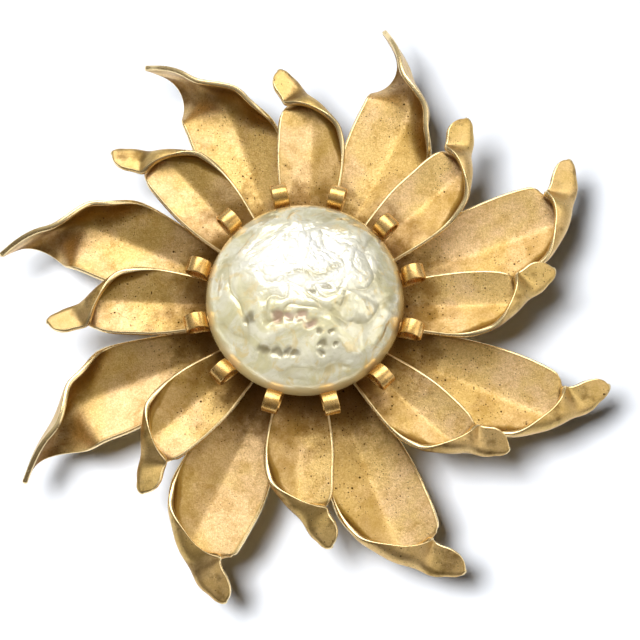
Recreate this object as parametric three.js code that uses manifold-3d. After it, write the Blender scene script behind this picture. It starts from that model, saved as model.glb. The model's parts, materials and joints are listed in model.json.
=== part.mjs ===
// Flower brooch: sixteen twisted sheet petals in two layers round a domed imitation pearl,
// a collar of twelve curled strips, and a bar pin with a roll-over safety catch on the back.
//
// Millimetres. +Z is the way the flower faces, +Y is up as worn, and the origin is the middle
// of the flat rear face that lies against the cloth.
import * as THREE from 'three';
import { mergeVertices } from 'three/addons/utils/BufferGeometryUtils.js';
import Module from 'manifold-3d';

const wasm = await Module();
wasm.setup();

// ---------------------------------------------------------------- driving dimensions

const PETALS_PER_LAYER = 8;
const SHEET = 0.7; // petal sheet thickness
const BRAZE = 0.05; // film between two pieces that are brazed, cemented or clamped
const WELD = 1e-4; // vertices nearer than this are one vertex

// A petal runs outwards from its root. Across it, "left" is the anticlockwise edge seen from
// the front and "right" the clockwise one. The body is a shallow V; slopes are the section's
// angles at its two edges, in degrees, and the bend is how far the tip's heading swings
// anticlockwise. Places along the petal are 0 to 1. The right edge is first turned up in a
// lip; then the fold wanders from the right edge across to the left one, so that the tip lies
// turned over. The flip is the fold's angle, and soft its half breadth as a share of the half
// width. Each side's half width narrows from widestAt to leftTo or rightTo, the later the
// larger its hold is. The left side runs out under the turned-over right one.
const FRONT_PETAL = {
  root: 5, length: 28.4, bend: 56, bendFrom: 0.68, bendTo: 0.93,
  rootZ: 6.1, bodyZ: 6.3, tipZ: 7,
  rootHalf: 1.7, widestAt: 0.56,
  leftHalf: 4.5, leftTip: 1, leftTo: 0.94, leftHold: 1.7,
  rightHalf: 4.6, rightTip: 1.9, rightTo: 0.95, rightHold: 1.2,
  leftSlope: -14, rightSlope: 14,
  flip: 165, soft: 0.5, lip: 0.2, lipFrom: 0.38, lipTo: 0.72, foldFrom: 0.64, foldTo: 1.09,
};
const REAR_PETAL = {
  root: 5, length: 38, bend: 74, bendFrom: 0.7, bendTo: 0.94,
  rootZ: 2.75, bodyZ: 2.6, tipZ: 3.2,
  rootHalf: 1.8, widestAt: 0.58,
  leftHalf: 6.2, leftTip: 1, leftTo: 0.94, leftHold: 1.7,
  rightHalf: 6, rightTip: 1.9, rightTo: 0.95, rightHold: 1.2,
  leftSlope: -12, rightSlope: 14,
  flip: 165, soft: 0.42, lip: 0.2, lipFrom: 0.42, lipTo: 0.74, foldFrom: 0.66, foldTo: 1.09,
};
// A tip that is turned over flat and broad, and one that only stands up, like a breaking wave.
const BROAD_TIP = { rightTip: 2.6 };
const OPEN_TIP = {
  bend: 60, bendFrom: 0.58, bendTo: 0.95,
  leftTip: 0.8, leftTo: 1, rightHalf: 5.7, rightTip: 0.9, rightTo: 1, rightHold: 1.7,
  flip: 100, soft: 0.7, lip: 0.34, lipTo: 0.66, foldFrom: 0.64, foldTo: 1,
};

// Each petal was bent by hand: its turn in degrees from an even spacing, and what else differs.
// Number 1 of each layer is the topmost, and the numbers run clockwise seen from the front.
const FRONT_FIRST_ANGLE = 90;
const FRONT_HAND = [
  { turn: -2, length: 29 },
  { ...BROAD_TIP, turn: -3, length: 29.8, bend: 60 },
  { ...BROAD_TIP, turn: 1, length: 28.6 },
  { ...BROAD_TIP, turn: 1, length: 28 },
  { turn: -2, length: 27.6 },
  { turn: -3, length: 28 },
  { turn: -2, bend: 38 },
  { turn: -3, length: 29 },
];
const REAR_FIRST_ANGLE = 67.5;
const REAR_HAND = [
  { ...OPEN_TIP, turn: -4, length: 38.6 },
  { turn: -1.5, length: 39.4, bend: 80 },
  { turn: -1 },
  { ...BROAD_TIP, turn: -1.5, length: 37 },
  { turn: -3, length: 37.2, bend: 80 },
  { ...OPEN_TIP, turn: -0.5, length: 38.6, bend: 50 },
  { ...OPEN_TIP, turn: -1, length: 38 },
  { ...OPEN_TIP, turn: -2.5, length: 38 },
];

const PEARL_RADIUS = 12.5;
const PEARL_HEIGHT = 6.9; // above the girdle
const GIRDLE_Z = 10;
const PEARL_BASE_Z = 9.6;
const PEARL_BASE_RADIUS = 11.9;

const SCROLLS = 12;
const SCROLL_WIDTH = 2;
const SCROLL_SHEET = 0.4;
const SCROLL_LOOP_RADIUS = 1.25; // of the strip's middle
const SCROLL_LOOP_CENTRE = { r: 14.02, z: 10.8 };
const SCROLL_LOOP_START = -90; // degrees round the loop, at its bottom
const SCROLL_LOOP_END = 195; // where it stops, next to the stone
const SCROLL_LEG = { inset: 0.6, reach: 1.4, lift: 0.4, onRise: 0.75 }; // how it leaves the dish
const SCROLL_FIRST_ANGLE = 13.2; // degrees
const COLLAR_Z = FRONT_PETAL.rootZ + SHEET / 2 + BRAZE;
const DISH_FOOT = 7; // radius where the collar and the cup start to rise
const DISH_RIM = 9.4;
const DISH_RISE = 0.7; // from the foot to the rim of the collar's dish

const CUP_SHEET = 0.4;
const CUP_RIM_RADIUS = 11.2;
const CUP_RIM_Z = 9.2;
const CEMENT_CLEAR = 0.25; // round the rivet's head and along the cup's foot

const RIVET_RADIUS = 1.5;
const RIVET_HOLE = 1.6;
const RIVET_HEAD_RADIUS = 3;
const RIVET_HEAD = 0.5;

const HUB = 0.7; // thickness of both hubs
const FRONT_HUB_RADIUS = 8.5;
const REAR_HUB_RADIUS = 10.5;
const SPACER_RADIUS = 6.5;

const PLATE_RADIUS = 10;
const PLATE_SHEET = 0.6;
const PLATE_CORNER = 0.5;
const LAND = { radius: 4.2, height: 0.1, slope: 0.2 }; // pressed proud in the middle of the back plate

const PIN_Y = 7; // the pin-back sits above the middle, so that the flower doesn't nod
const BAR = { length: 44, width: 5, thickness: 0.9 };
const FOOT = { width: 4.6, thickness: 0.6 }; // base strip of the hinge bracket and of the catch
const HINGE_FOOT_HALF = 2.6;
const EAR_FOOT_HALF = 2;
const STEM_DROP = 5.1; // from the bar's back to the stem's middle
const HINGE_X = -19;
const EAR_RADIUS = 1.5;
const EAR_THICKNESS = 0.7;
const EAR_GAP = 1.8; // between the two ears
const EYE_RADIUS = 1.3;
const EYE_WIDTH = 1.6;
const EYE_HOLE = 0.58;
const AXLE_RADIUS = 0.5;
const AXLE_HEAD = { radius: 0.9, thickness: 0.3 };
const EAR_HOLE = 0.55;
const STEM_RADIUS = 0.45;
const STEM_LENGTH = 43.5;
const STEM_TAPER = 5;
const STEM_SHOULDER = { radius: 0.25, fromPoint: 1.5 }; // where the taper steepens

const CATCH = { from: 17.6, to: 21.2, inner: 1.65, outer: 2.15, slot: 1.3, neck: 2.4 };
const ROTOR = { radius: 1.55, bore: 0.62, slot: 1.2, collar: 2.05, running: 0.1 };
const ROTOR_TAB_COLLAR = 1.1; // length of the collar that carries the thumb tab
const ROTOR_END_COLLAR = 0.6;
const TAB = { angle: 210, reach: 3.8, thickness: 0.7 }; // angle in degrees from +Y towards +Z

// The heights that follow from the stack.
const REAR_HUB_TOP = REAR_PETAL.rootZ - SHEET / 2 - BRAZE;
const REAR_HUB_BOTTOM = REAR_HUB_TOP - HUB;
const FRONT_HUB_TOP = FRONT_PETAL.rootZ - SHEET / 2 - BRAZE;
const FRONT_HUB_BOTTOM = FRONT_HUB_TOP - HUB;
const SPACER_BOTTOM = REAR_PETAL.rootZ + SHEET / 2 + BRAZE;
const SPACER_TOP = FRONT_HUB_BOTTOM - BRAZE;
const CUP_Z = COLLAR_Z + SCROLL_SHEET + BRAZE;
const CUP_FLOOR = CUP_Z + CUP_SHEET;
const BAR_TOP = LAND.height - BRAZE;
const BAR_BACK = BAR_TOP - BAR.thickness;
const FOOT_TOP = BAR_BACK - BRAZE;
const STEM_Z = BAR_BACK - STEM_DROP;

const ROUND = 32; // sides of the round pieces
const SMALL_ROUND = 24;
const STEM_ROUND = 16;
const PEARL_RINGS = 11;
const SCROLL_LEG_STEPS = 5;
const SCROLL_LOOP_STEPS = 11;

// ---------------------------------------------------------------- materials

const satinGold = new THREE.MeshStandardMaterial({ color: 0xc8a25c, roughness: 0.42, metalness: 1 });
const brightGold = new THREE.MeshStandardMaterial({ color: 0xd9b672, roughness: 0.28, metalness: 1 });
const pearl = new THREE.MeshStandardMaterial({ color: 0xefe9da, roughness: 0.18, metalness: 0 });
const cement = new THREE.MeshStandardMaterial({ color: 0xcfc6a8, roughness: 0.7, metalness: 0 });
const pinSteel = new THREE.MeshStandardMaterial({ color: 0xd2c08a, roughness: 0.3, metalness: 1 });

// ---------------------------------------------------------------- helpers

function radians(degrees) {
  return THREE.MathUtils.degToRad(degrees);
}

function mix(a, b, t) {
  return a + (b - a) * t;
}

function ease(from, to, x) {
  return THREE.MathUtils.smoothstep(x, from, to);
}

function share(from, to, x) {
  return THREE.MathUtils.clamp((x - from) / (to - from), 0, 1);
}

// One closed surface: vertices shared by position, and no collapsed triangle.
function weld(geometry) {
  const bare = geometry.clone();
  bare.deleteAttribute('normal');
  bare.deleteAttribute('uv');
  const merged = mergeVertices(bare, WELD);
  const old = merged.index.array;
  const kept = [];
  for (let i = 0; i < old.length; i += 3) {
    const [a, b, c] = [old[i], old[i + 1], old[i + 2]];
    if (a !== b && b !== c && c !== a) kept.push(a, b, c);
  }
  merged.setIndex(kept);
  return merged;
}

function toSolid(geometry) {
  const welded = weld(geometry);
  return new wasm.Manifold(new wasm.Mesh({
    numProp: 3,
    vertProperties: new Float32Array(welded.attributes.position.array),
    triVerts: new Uint32Array(welded.index.array),
  }));
}

function toGeometry(solid) {
  const mesh = solid.getMesh();
  const geometry = new THREE.BufferGeometry();
  geometry.setAttribute('position', new THREE.BufferAttribute(mesh.vertProperties, 3));
  geometry.setIndex(new THREE.BufferAttribute(mesh.triVerts, 1));
  return geometry;
}

function join(...geometries) {
  return toGeometry(geometries.map(toSolid).reduce((a, b) => a.add(b)));
}

function cut(body, ...tools) {
  return toGeometry(tools.map(toSolid).reduce((a, b) => a.subtract(b), toSolid(body)));
}

// A solid of revolution about +Z. The profile is [radius, z] pairs, listed from low to high
// along its outer side; it starts and ends on the axis, or ends where it starts.
function turned(profile, sides = ROUND) {
  const points = profile.map(([r, z]) => new THREE.Vector2(r, z));
  return new THREE.LatheGeometry(points, sides).rotateX(Math.PI / 2);
}

function washer(inner, outer, bottom, top, sides = ROUND) {
  return turned([[inner, bottom], [outer, bottom], [outer, top], [inner, top], [inner, bottom]], sides);
}

function block(fromX, toX, fromY, toY, fromZ, toZ) {
  const box = new THREE.BoxGeometry(toX - fromX, toY - fromY, toZ - fromZ);
  return box.translate((fromX + toX) / 2, (fromY + toY) / 2, (fromZ + toZ) / 2);
}

// A round bar along X, centred on the stem's line.
function barAlongX(radius, fromX, toX, sides = ROUND) {
  const bar = new THREE.CylinderGeometry(radius, radius, toX - fromX, sides).rotateZ(Math.PI / 2);
  return bar.translate((fromX + toX) / 2, PIN_Y, STEM_Z);
}

// A shape drawn in X and Z, pushed along Y from one place to the other.
function plateAcrossY(shape, fromY, toY, curveSegments = SMALL_ROUND / 2) {
  const depth = toY - fromY;
  const plate = new THREE.ExtrudeGeometry(shape, { depth, bevelEnabled: false, curveSegments });
  return plate.rotateX(Math.PI / 2).translate(0, toY, 0);
}

// What a cut takes out of a tube to open it behind, over the tube's whole length.
function slotTool(fromX, toX, width, behind) {
  return block(fromX, toX, PIN_Y - width / 2, PIN_Y + width / 2, STEM_Z - behind, STEM_Z);
}

function roundHole(x, y, radius) {
  return new THREE.Path().absarc(x, y, radius, 0, 2 * Math.PI, true);
}

// ---------------------------------------------------------------- petals

const STATIONS = 20; // along a petal
const LANES = 8; // across a petal
const TIP_STATIONS = 3; // of them, on the rounded end
const TIP_FROM = 0.95;
const TIP_ROUNDING = 0.9; // 1 would bring the tip to a point
const WIDENING_POWER = 1.5; // above 1, a petal stays slim near its root
const CENTRE_STEPS = 160;
const SECTION_STEPS = 16;
const SLOPE_STEP = 1e-3; // for the surface's normal

// The petal's middle line in plan: straight, then swinging anticlockwise.
function middleLine(style) {
  const line = [{ x: style.root, y: 0, heading: 0 }];
  const step = style.length / CENTRE_STEPS;
  for (let i = 1; i <= CENTRE_STEPS; i += 1) {
    const last = line[i - 1];
    const heading = radians(style.bend) * ease(style.bendFrom, style.bendTo, i / CENTRE_STEPS);
    const x = last.x + step * (Math.cos(heading) + Math.cos(last.heading)) / 2;
    const y = last.y + step * (Math.sin(heading) + Math.sin(last.heading)) / 2;
    line.push({ x, y, heading });
  }
  return line;
}

function onLine(line, u) {
  const place = Math.min(Math.max(u, 0), 1) * CENTRE_STEPS;
  const i = Math.min(Math.floor(place), CENTRE_STEPS - 1);
  const t = place - i;
  const [a, b] = [line[i], line[i + 1]];
  return { x: mix(a.x, b.x, t), y: mix(a.y, b.y, t), heading: mix(a.heading, b.heading, t) };
}

// How wide the petal is from its middle line to its left edge, v < 0, or to its right one.
function halfWidth(style, u, v) {
  const [widest, tip, to, hold] = v < 0
    ? [style.leftHalf, style.leftTip, style.leftTo, style.leftHold]
    : [style.rightHalf, style.rightTip, style.rightTo, style.rightHold];
  const widening = Math.sin(share(0, style.widestAt, u) * Math.PI / 2) ** WIDENING_POWER;
  const fall = share(style.widestAt, to, u) ** hold;
  const narrowed = mix(tip, widest, Math.cos(fall * Math.PI / 2));
  const body = u < style.widestAt ? mix(style.rootHalf, widest, widening) : narrowed;
  const end = share(TIP_FROM, 1, u);
  return body * Math.sqrt(1 - TIP_ROUNDING * end * end);
}

// Where across the section the fold's middle is: beyond the right edge near the root, beyond
// the left one at the tip.
function foldPlace(style, u) {
  const lip = style.lip * ease(style.lipFrom, style.lipTo, u);
  const crossing = (1 - style.lip) * share(style.foldFrom, style.foldTo, u);
  return (1 + style.soft) * (1 - 2 * (lip + crossing));
}

// A point of the petal's middle surface: u from root to tip, v from -1 at the left edge to 1
// at the right one. The section is laid out from the middle line towards v: a shallow V, and
// past the fold turned over.
function petalPoint(style, line, u, v) {
  const { x, y, heading } = onLine(line, u);
  const body = mix(style.rootZ, style.bodyZ, ease(0.1, 0.5, u));
  const z = body + (style.tipZ - style.bodyZ) * ease(0.5, 1, u);
  const opened = ease(0.08, 0.3, u) * (1 - share(style.foldFrom, 1, u));
  const fold = foldPlace(style, u);
  let across = 0;
  let up = 0;
  for (let i = 0; i < SECTION_STEPS; i += 1) {
    const place = v * (i + 0.5) / SECTION_STEPS;
    const open = mix(style.leftSlope, style.rightSlope, (place + 1) / 2) * opened;
    const turnedOver = style.flip * ease(fold - style.soft, fold + style.soft, place);
    const slope = radians(open + turnedOver);
    across += Math.cos(slope) * v / SECTION_STEPS;
    up += Math.sin(slope) * v / SECTION_STEPS;
  }
  const half = halfWidth(style, u, v);
  return new THREE.Vector3(
    x + Math.sin(heading) * half * across,
    y - Math.cos(heading) * half * across,
    z + half * up,
  );
}

function petalNormal(style, line, u, v) {
  const d = SLOPE_STEP;
  const alongU = petalPoint(style, line, Math.min(u + d, 1), v)
    .sub(petalPoint(style, line, Math.max(u - d, 0), v));
  const alongV = petalPoint(style, line, u, v + d).sub(petalPoint(style, line, u, v - d));
  return alongV.cross(alongU).normalize();
}

function station(i) {
  const bodyStations = STATIONS - TIP_STATIONS;
  if (i <= bodyStations) return TIP_FROM * i / bodyStations;
  return mix(TIP_FROM, 1, Math.sin((i - bodyStations) / TIP_STATIONS * Math.PI / 2));
}

// The sheet: a front and a rear skin, half the thickness each side of the middle surface.
function petalGeometry(style) {
  const line = middleLine(style);
  const front = [];
  const rear = [];
  for (let i = 0; i <= STATIONS; i += 1) {
    for (let j = 0; j <= LANES; j += 1) {
      const u = station(i);
      const v = 2 * j / LANES - 1;
      const point = petalPoint(style, line, u, v);
      const offset = petalNormal(style, line, u, v).multiplyScalar(SHEET / 2);
      front.push(...point.clone().add(offset).toArray());
      rear.push(...point.clone().sub(offset).toArray());
    }
  }
  const at = (i, j) => i * (LANES + 1) + j;
  const behind = (STATIONS + 1) * (LANES + 1);
  const index = [];
  const rim = [];
  for (let i = 0; i < STATIONS; i += 1) {
    for (let j = 0; j < LANES; j += 1) {
      const [a, b, c, d] = [at(i, j), at(i, j + 1), at(i + 1, j + 1), at(i + 1, j)];
      index.push(a, b, c, a, c, d);
      index.push(a + behind, c + behind, b + behind, a + behind, d + behind, c + behind);
    }
    rim.push([at(i, LANES), at(i + 1, LANES)], [at(i + 1, 0), at(i, 0)]);
  }
  for (let j = 0; j < LANES; j += 1) {
    rim.push([at(0, j), at(0, j + 1)], [at(STATIONS, j + 1), at(STATIONS, j)]);
  }
  for (const [a, b] of rim) index.push(b, a, a + behind, b, a + behind, b + behind);
  const geometry = new THREE.BufferGeometry();
  geometry.setAttribute('position', new THREE.Float32BufferAttribute([...front, ...rear], 3));
  geometry.setIndex(index);
  return geometry;
}

function petalLayer(layer, style, firstAngle, hands) {
  const petals = new THREE.Group();
  hands.forEach(({ turn, ...own }, i) => {
    const petal = piece(`${layer}_petal_${i + 1}`, petalGeometry({ ...style, ...own }), satinGold);
    petal.rotation.z = radians(firstAngle - i * 360 / PETALS_PER_LAYER + turn);
    petals.add(petal);
  });
  return petals;
}

// ---------------------------------------------------------------- stone, cup and collar

function pearlCabochon() {
  const profile = [[0, PEARL_BASE_Z], [PEARL_BASE_RADIUS, PEARL_BASE_Z]];
  for (let i = 0; i < PEARL_RINGS; i += 1) {
    const angle = i / PEARL_RINGS * Math.PI / 2;
    profile.push([PEARL_RADIUS * Math.cos(angle), GIRDLE_Z + PEARL_HEIGHT * Math.sin(angle)]);
  }
  profile.push([0, GIRDLE_Z + PEARL_HEIGHT]);
  return turned(profile);
}

function pearlCup() {
  return turned([
    [RIVET_HOLE, CUP_Z], [DISH_FOOT, CUP_Z],
    [CUP_RIM_RADIUS, CUP_RIM_Z - CUP_SHEET], [CUP_RIM_RADIUS, CUP_RIM_Z],
    [DISH_FOOT, CUP_FLOOR], [RIVET_HOLE, CUP_FLOOR], [RIVET_HOLE, CUP_Z],
  ]);
}

// The cement fills the cup up to the stone, round the rivet's head.
function cementBed() {
  const top = PEARL_BASE_Z - BRAZE;
  const overHead = CUP_FLOOR + BRAZE + RIVET_HEAD + BRAZE;
  const pocket = RIVET_HEAD_RADIUS + CEMENT_CLEAR;
  const bottom = CUP_FLOOR + BRAZE;
  const side = CUP_RIM_RADIUS - CUP_SHEET;
  return turned([
    [0, overHead], [pocket, overHead], [pocket, bottom], [DISH_FOOT - CEMENT_CLEAR, bottom],
    [side, CUP_RIM_Z + BRAZE], [side, top], [0, top],
  ]);
}

// The strip's middle line in radius and height: up from the dish, out under the stone, then
// round the loop and back to the stone's side.
function scrollLine() {
  const { r, z } = SCROLL_LOOP_CENTRE;
  const bottom = new THREE.Vector2(r, z - SCROLL_LOOP_RADIUS);
  const onDish = COLLAR_Z + SCROLL_SHEET / 2 + DISH_RISE * SCROLL_LEG.onRise;
  const start = new THREE.Vector2(DISH_RIM - SCROLL_LEG.inset, onDish);
  const leg = new THREE.CubicBezierCurve(
    start,
    new THREE.Vector2(start.x + SCROLL_LEG.reach, start.y + SCROLL_LEG.lift),
    new THREE.Vector2(bottom.x - SCROLL_LEG.reach, bottom.y),
    bottom,
  );
  const points = leg.getPoints(SCROLL_LEG_STEPS);
  for (let i = 1; i <= SCROLL_LOOP_STEPS; i += 1) {
    const angle = radians(mix(SCROLL_LOOP_START, SCROLL_LOOP_END, i / SCROLL_LOOP_STEPS));
    points.push(new THREE.Vector2(
      r + SCROLL_LOOP_RADIUS * Math.cos(angle),
      z + SCROLL_LOOP_RADIUS * Math.sin(angle),
    ));
  }
  return points;
}

function scrollArm(angle) {
  const line = scrollLine();
  const outer = [];
  const inner = [];
  line.forEach((point, i) => {
    const before = line[Math.max(i - 1, 0)];
    const after = line[Math.min(i + 1, line.length - 1)];
    const along = after.clone().sub(before).normalize();
    const aside = new THREE.Vector2(along.y, -along.x).multiplyScalar(SCROLL_SHEET / 2);
    outer.push(point.clone().add(aside));
    inner.push(point.clone().sub(aside));
  });
  const shape = new THREE.Shape([...outer, ...inner.reverse()]);
  return plateAcrossY(shape, -SCROLL_WIDTH / 2, SCROLL_WIDTH / 2).rotateZ(radians(angle));
}

function scrollCollar() {
  const dish = turned([
    [RIVET_HOLE, COLLAR_Z], [DISH_FOOT, COLLAR_Z],
    [DISH_RIM, COLLAR_Z + DISH_RISE], [DISH_RIM, COLLAR_Z + DISH_RISE + SCROLL_SHEET],
    [DISH_FOOT, COLLAR_Z + SCROLL_SHEET], [RIVET_HOLE, COLLAR_Z + SCROLL_SHEET], [RIVET_HOLE, COLLAR_Z],
  ]);
  const arms = [];
  for (let i = 0; i < SCROLLS; i += 1) arms.push(scrollArm(SCROLL_FIRST_ANGLE + i * 360 / SCROLLS));
  return join(dish, ...arms);
}

// ---------------------------------------------------------------- the stack behind the stone

function centreRivet() {
  const headTop = CUP_FLOOR + BRAZE + RIVET_HEAD;
  const tailTop = REAR_HUB_BOTTOM - BRAZE;
  return turned([
    [0, tailTop - RIVET_HEAD], [RIVET_HEAD_RADIUS, tailTop - RIVET_HEAD], [RIVET_HEAD_RADIUS, tailTop],
    [RIVET_RADIUS, tailTop], [RIVET_RADIUS, headTop - RIVET_HEAD],
    [RIVET_HEAD_RADIUS, headTop - RIVET_HEAD], [RIVET_HEAD_RADIUS, headTop], [0, headTop],
  ], SMALL_ROUND);
}

// A dished cover over the rivet's tail, open towards the rear hub. The cloth lies on its land.
function backPlate() {
  const rim = REAR_HUB_BOTTOM - BRAZE;
  const inside = PLATE_RADIUS - PLATE_SHEET;
  return turned([
    [0, 0], [LAND.radius, 0], [LAND.radius + LAND.slope, LAND.height],
    [PLATE_RADIUS - PLATE_CORNER, LAND.height], [PLATE_RADIUS, LAND.height + PLATE_CORNER],
    [PLATE_RADIUS, rim], [inside, rim], [inside, PLATE_SHEET], [0, PLATE_SHEET],
  ]);
}

// ---------------------------------------------------------------- pin-back

function pinBar() {
  const half = BAR.width / 2;
  const reach = BAR.length / 2 - half;
  const outline = new THREE.Shape();
  outline.absarc(reach, PIN_Y, half, -Math.PI / 2, Math.PI / 2, false);
  outline.absarc(-reach, PIN_Y, half, Math.PI / 2, 3 * Math.PI / 2, false);
  const depth = BAR.thickness;
  const bar = new THREE.ExtrudeGeometry(outline, { depth, bevelEnabled: false });
  return bar.translate(0, 0, BAR_BACK);
}

function foot(fromX, toX) {
  const half = FOOT.width / 2;
  return block(fromX, toX, PIN_Y - half, PIN_Y + half, FOOT_TOP - FOOT.thickness, FOOT_TOP);
}

// An ear is wide at its foot and rounded about the axle.
function hingeEar(fromY, toY) {
  const outline = new THREE.Shape();
  outline.moveTo(HINGE_X - EAR_FOOT_HALF, FOOT_TOP - FOOT.thickness / 2);
  outline.lineTo(HINGE_X - EAR_RADIUS, STEM_Z);
  outline.absarc(HINGE_X, STEM_Z, EAR_RADIUS, Math.PI, 2 * Math.PI, false);
  outline.lineTo(HINGE_X + EAR_FOOT_HALF, FOOT_TOP - FOOT.thickness / 2);
  outline.closePath();
  outline.holes.push(roundHole(HINGE_X, STEM_Z, EAR_HOLE));
  return plateAcrossY(outline, fromY, toY);
}

function hingeBracket() {
  const inner = EAR_GAP / 2;
  const outer = inner + EAR_THICKNESS;
  return join(
    foot(HINGE_X - HINGE_FOOT_HALF, HINGE_X + HINGE_FOOT_HALF),
    hingeEar(PIN_Y - outer, PIN_Y - inner),
    hingeEar(PIN_Y + inner, PIN_Y + outer),
  );
}

function hingeRivet() {
  const shank = EAR_GAP / 2 + EAR_THICKNESS + BRAZE;
  const end = shank + AXLE_HEAD.thickness;
  const rivet = turned([
    [0, -end], [AXLE_HEAD.radius, -end], [AXLE_HEAD.radius, -shank], [AXLE_RADIUS, -shank],
    [AXLE_RADIUS, shank], [AXLE_HEAD.radius, shank], [AXLE_HEAD.radius, end], [0, end],
  ], SMALL_ROUND);
  return rivet.rotateX(Math.PI / 2).translate(HINGE_X, PIN_Y, STEM_Z);
}

// The pin: a flattened eye on the axle, and a round stem that tapers to a point.
function pinStem() {
  const ring = new THREE.Shape().absarc(HINGE_X, STEM_Z, EYE_RADIUS, 0, 2 * Math.PI, false);
  ring.holes.push(roundHole(HINGE_X, STEM_Z, EYE_HOLE));
  const eye = plateAcrossY(ring, PIN_Y - EYE_WIDTH / 2, PIN_Y + EYE_WIDTH / 2);
  const start = (EYE_HOLE + EYE_RADIUS) / 2;
  const stem = turned([
    [0, start], [STEM_RADIUS, start], [STEM_RADIUS, STEM_LENGTH - STEM_TAPER],
    [STEM_SHOULDER.radius, STEM_LENGTH - STEM_SHOULDER.fromPoint], [0, STEM_LENGTH],
  ], STEM_ROUND).rotateY(Math.PI / 2).translate(HINGE_X, PIN_Y, STEM_Z);
  return join(eye, stem);
}

// The housing is a short tube on a neck, with a slot that lets the stem in from behind.
function catchHousing() {
  const neckHalf = CATCH.neck / 2;
  const neckFrom = STEM_Z + CATCH.inner;
  const neckTo = FOOT_TOP - FOOT.thickness / 2;
  const body = join(
    foot(CATCH.from, CATCH.to),
    block(CATCH.from, CATCH.to, PIN_Y - neckHalf, PIN_Y + neckHalf, neckFrom, neckTo),
    barAlongX(CATCH.outer, CATCH.from, CATCH.to),
  );
  return cut(
    body,
    barAlongX(CATCH.inner, CATCH.from - 1, CATCH.to + 1),
    slotTool(CATCH.from - 1, CATCH.to + 1, CATCH.slot, CATCH.outer + 1),
  );
}

// The rotor is a slotted drum, kept in the housing by a collar at each end. The inner collar
// carries the thumb tab.
function catchRotor() {
  const from = CATCH.from - ROTOR.running - ROTOR_TAB_COLLAR;
  const to = CATCH.to + ROTOR.running + ROTOR_END_COLLAR;
  const tabHalf = TAB.thickness / 2;
  const tab = block(from, from + ROTOR_TAB_COLLAR, ROTOR.radius, TAB.reach, -tabHalf, tabHalf);
  tab.rotateX(radians(TAB.angle)).translate(0, PIN_Y, STEM_Z);
  const body = join(
    barAlongX(ROTOR.radius, from, to),
    barAlongX(ROTOR.collar, from, from + ROTOR_TAB_COLLAR),
    barAlongX(ROTOR.collar, to - ROTOR_END_COLLAR, to),
    tab,
  );
  return cut(
    body,
    barAlongX(ROTOR.bore, from - 1, to + 1, SMALL_ROUND),
    slotTool(from - 1, to + 1, ROTOR.slot, ROTOR.collar + 1),
  );
}

// ---------------------------------------------------------------- the assembly

function piece(name, geometry, material) {
  const mesh = new THREE.Mesh(weld(geometry), material);
  mesh.name = name;
  return mesh;
}

const brooch = new THREE.Group();
brooch.add(
  piece('pearl_cabochon', pearlCabochon(), pearl),
  piece('cement_bed', cementBed(), cement),
  piece('pearl_cup', pearlCup(), brightGold),
  piece('scroll_collar', scrollCollar(), brightGold),
  petalLayer('front', FRONT_PETAL, FRONT_FIRST_ANGLE, FRONT_HAND),
  piece('front_hub', washer(RIVET_HOLE, FRONT_HUB_RADIUS, FRONT_HUB_BOTTOM, FRONT_HUB_TOP), satinGold),
  piece('layer_spacer', washer(RIVET_HOLE, SPACER_RADIUS, SPACER_BOTTOM, SPACER_TOP), satinGold),
  petalLayer('rear', REAR_PETAL, REAR_FIRST_ANGLE, REAR_HAND),
  piece('rear_hub', washer(RIVET_HOLE, REAR_HUB_RADIUS, REAR_HUB_BOTTOM, REAR_HUB_TOP), satinGold),
  piece('centre_rivet', centreRivet(), brightGold),
  piece('back_plate', backPlate(), satinGold),
  piece('pin_bar', pinBar(), brightGold),
  piece('hinge_bracket', hingeBracket(), brightGold),
  piece('hinge_rivet', hingeRivet(), brightGold),
  piece('pin_stem', pinStem(), pinSteel),
  piece('catch_housing', catchHousing(), brightGold),
  piece('catch_rotor', catchRotor(), brightGold),
);

export default brooch;
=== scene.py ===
"""A gilt flower brooch: sixteen hand-bent petals, a wrinkled imitation pearl and a bar pin.

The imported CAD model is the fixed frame. This script puts a finely modelled piece over each of
its nodes, gives each a procedural material, and sets up the floor, the lights and the camera.
Sizes below are in millimetres; meshes are made in metres.
"""

import json
import math

import bmesh
import bpy
import numpy as np
from mathutils import Matrix, Vector


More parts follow.
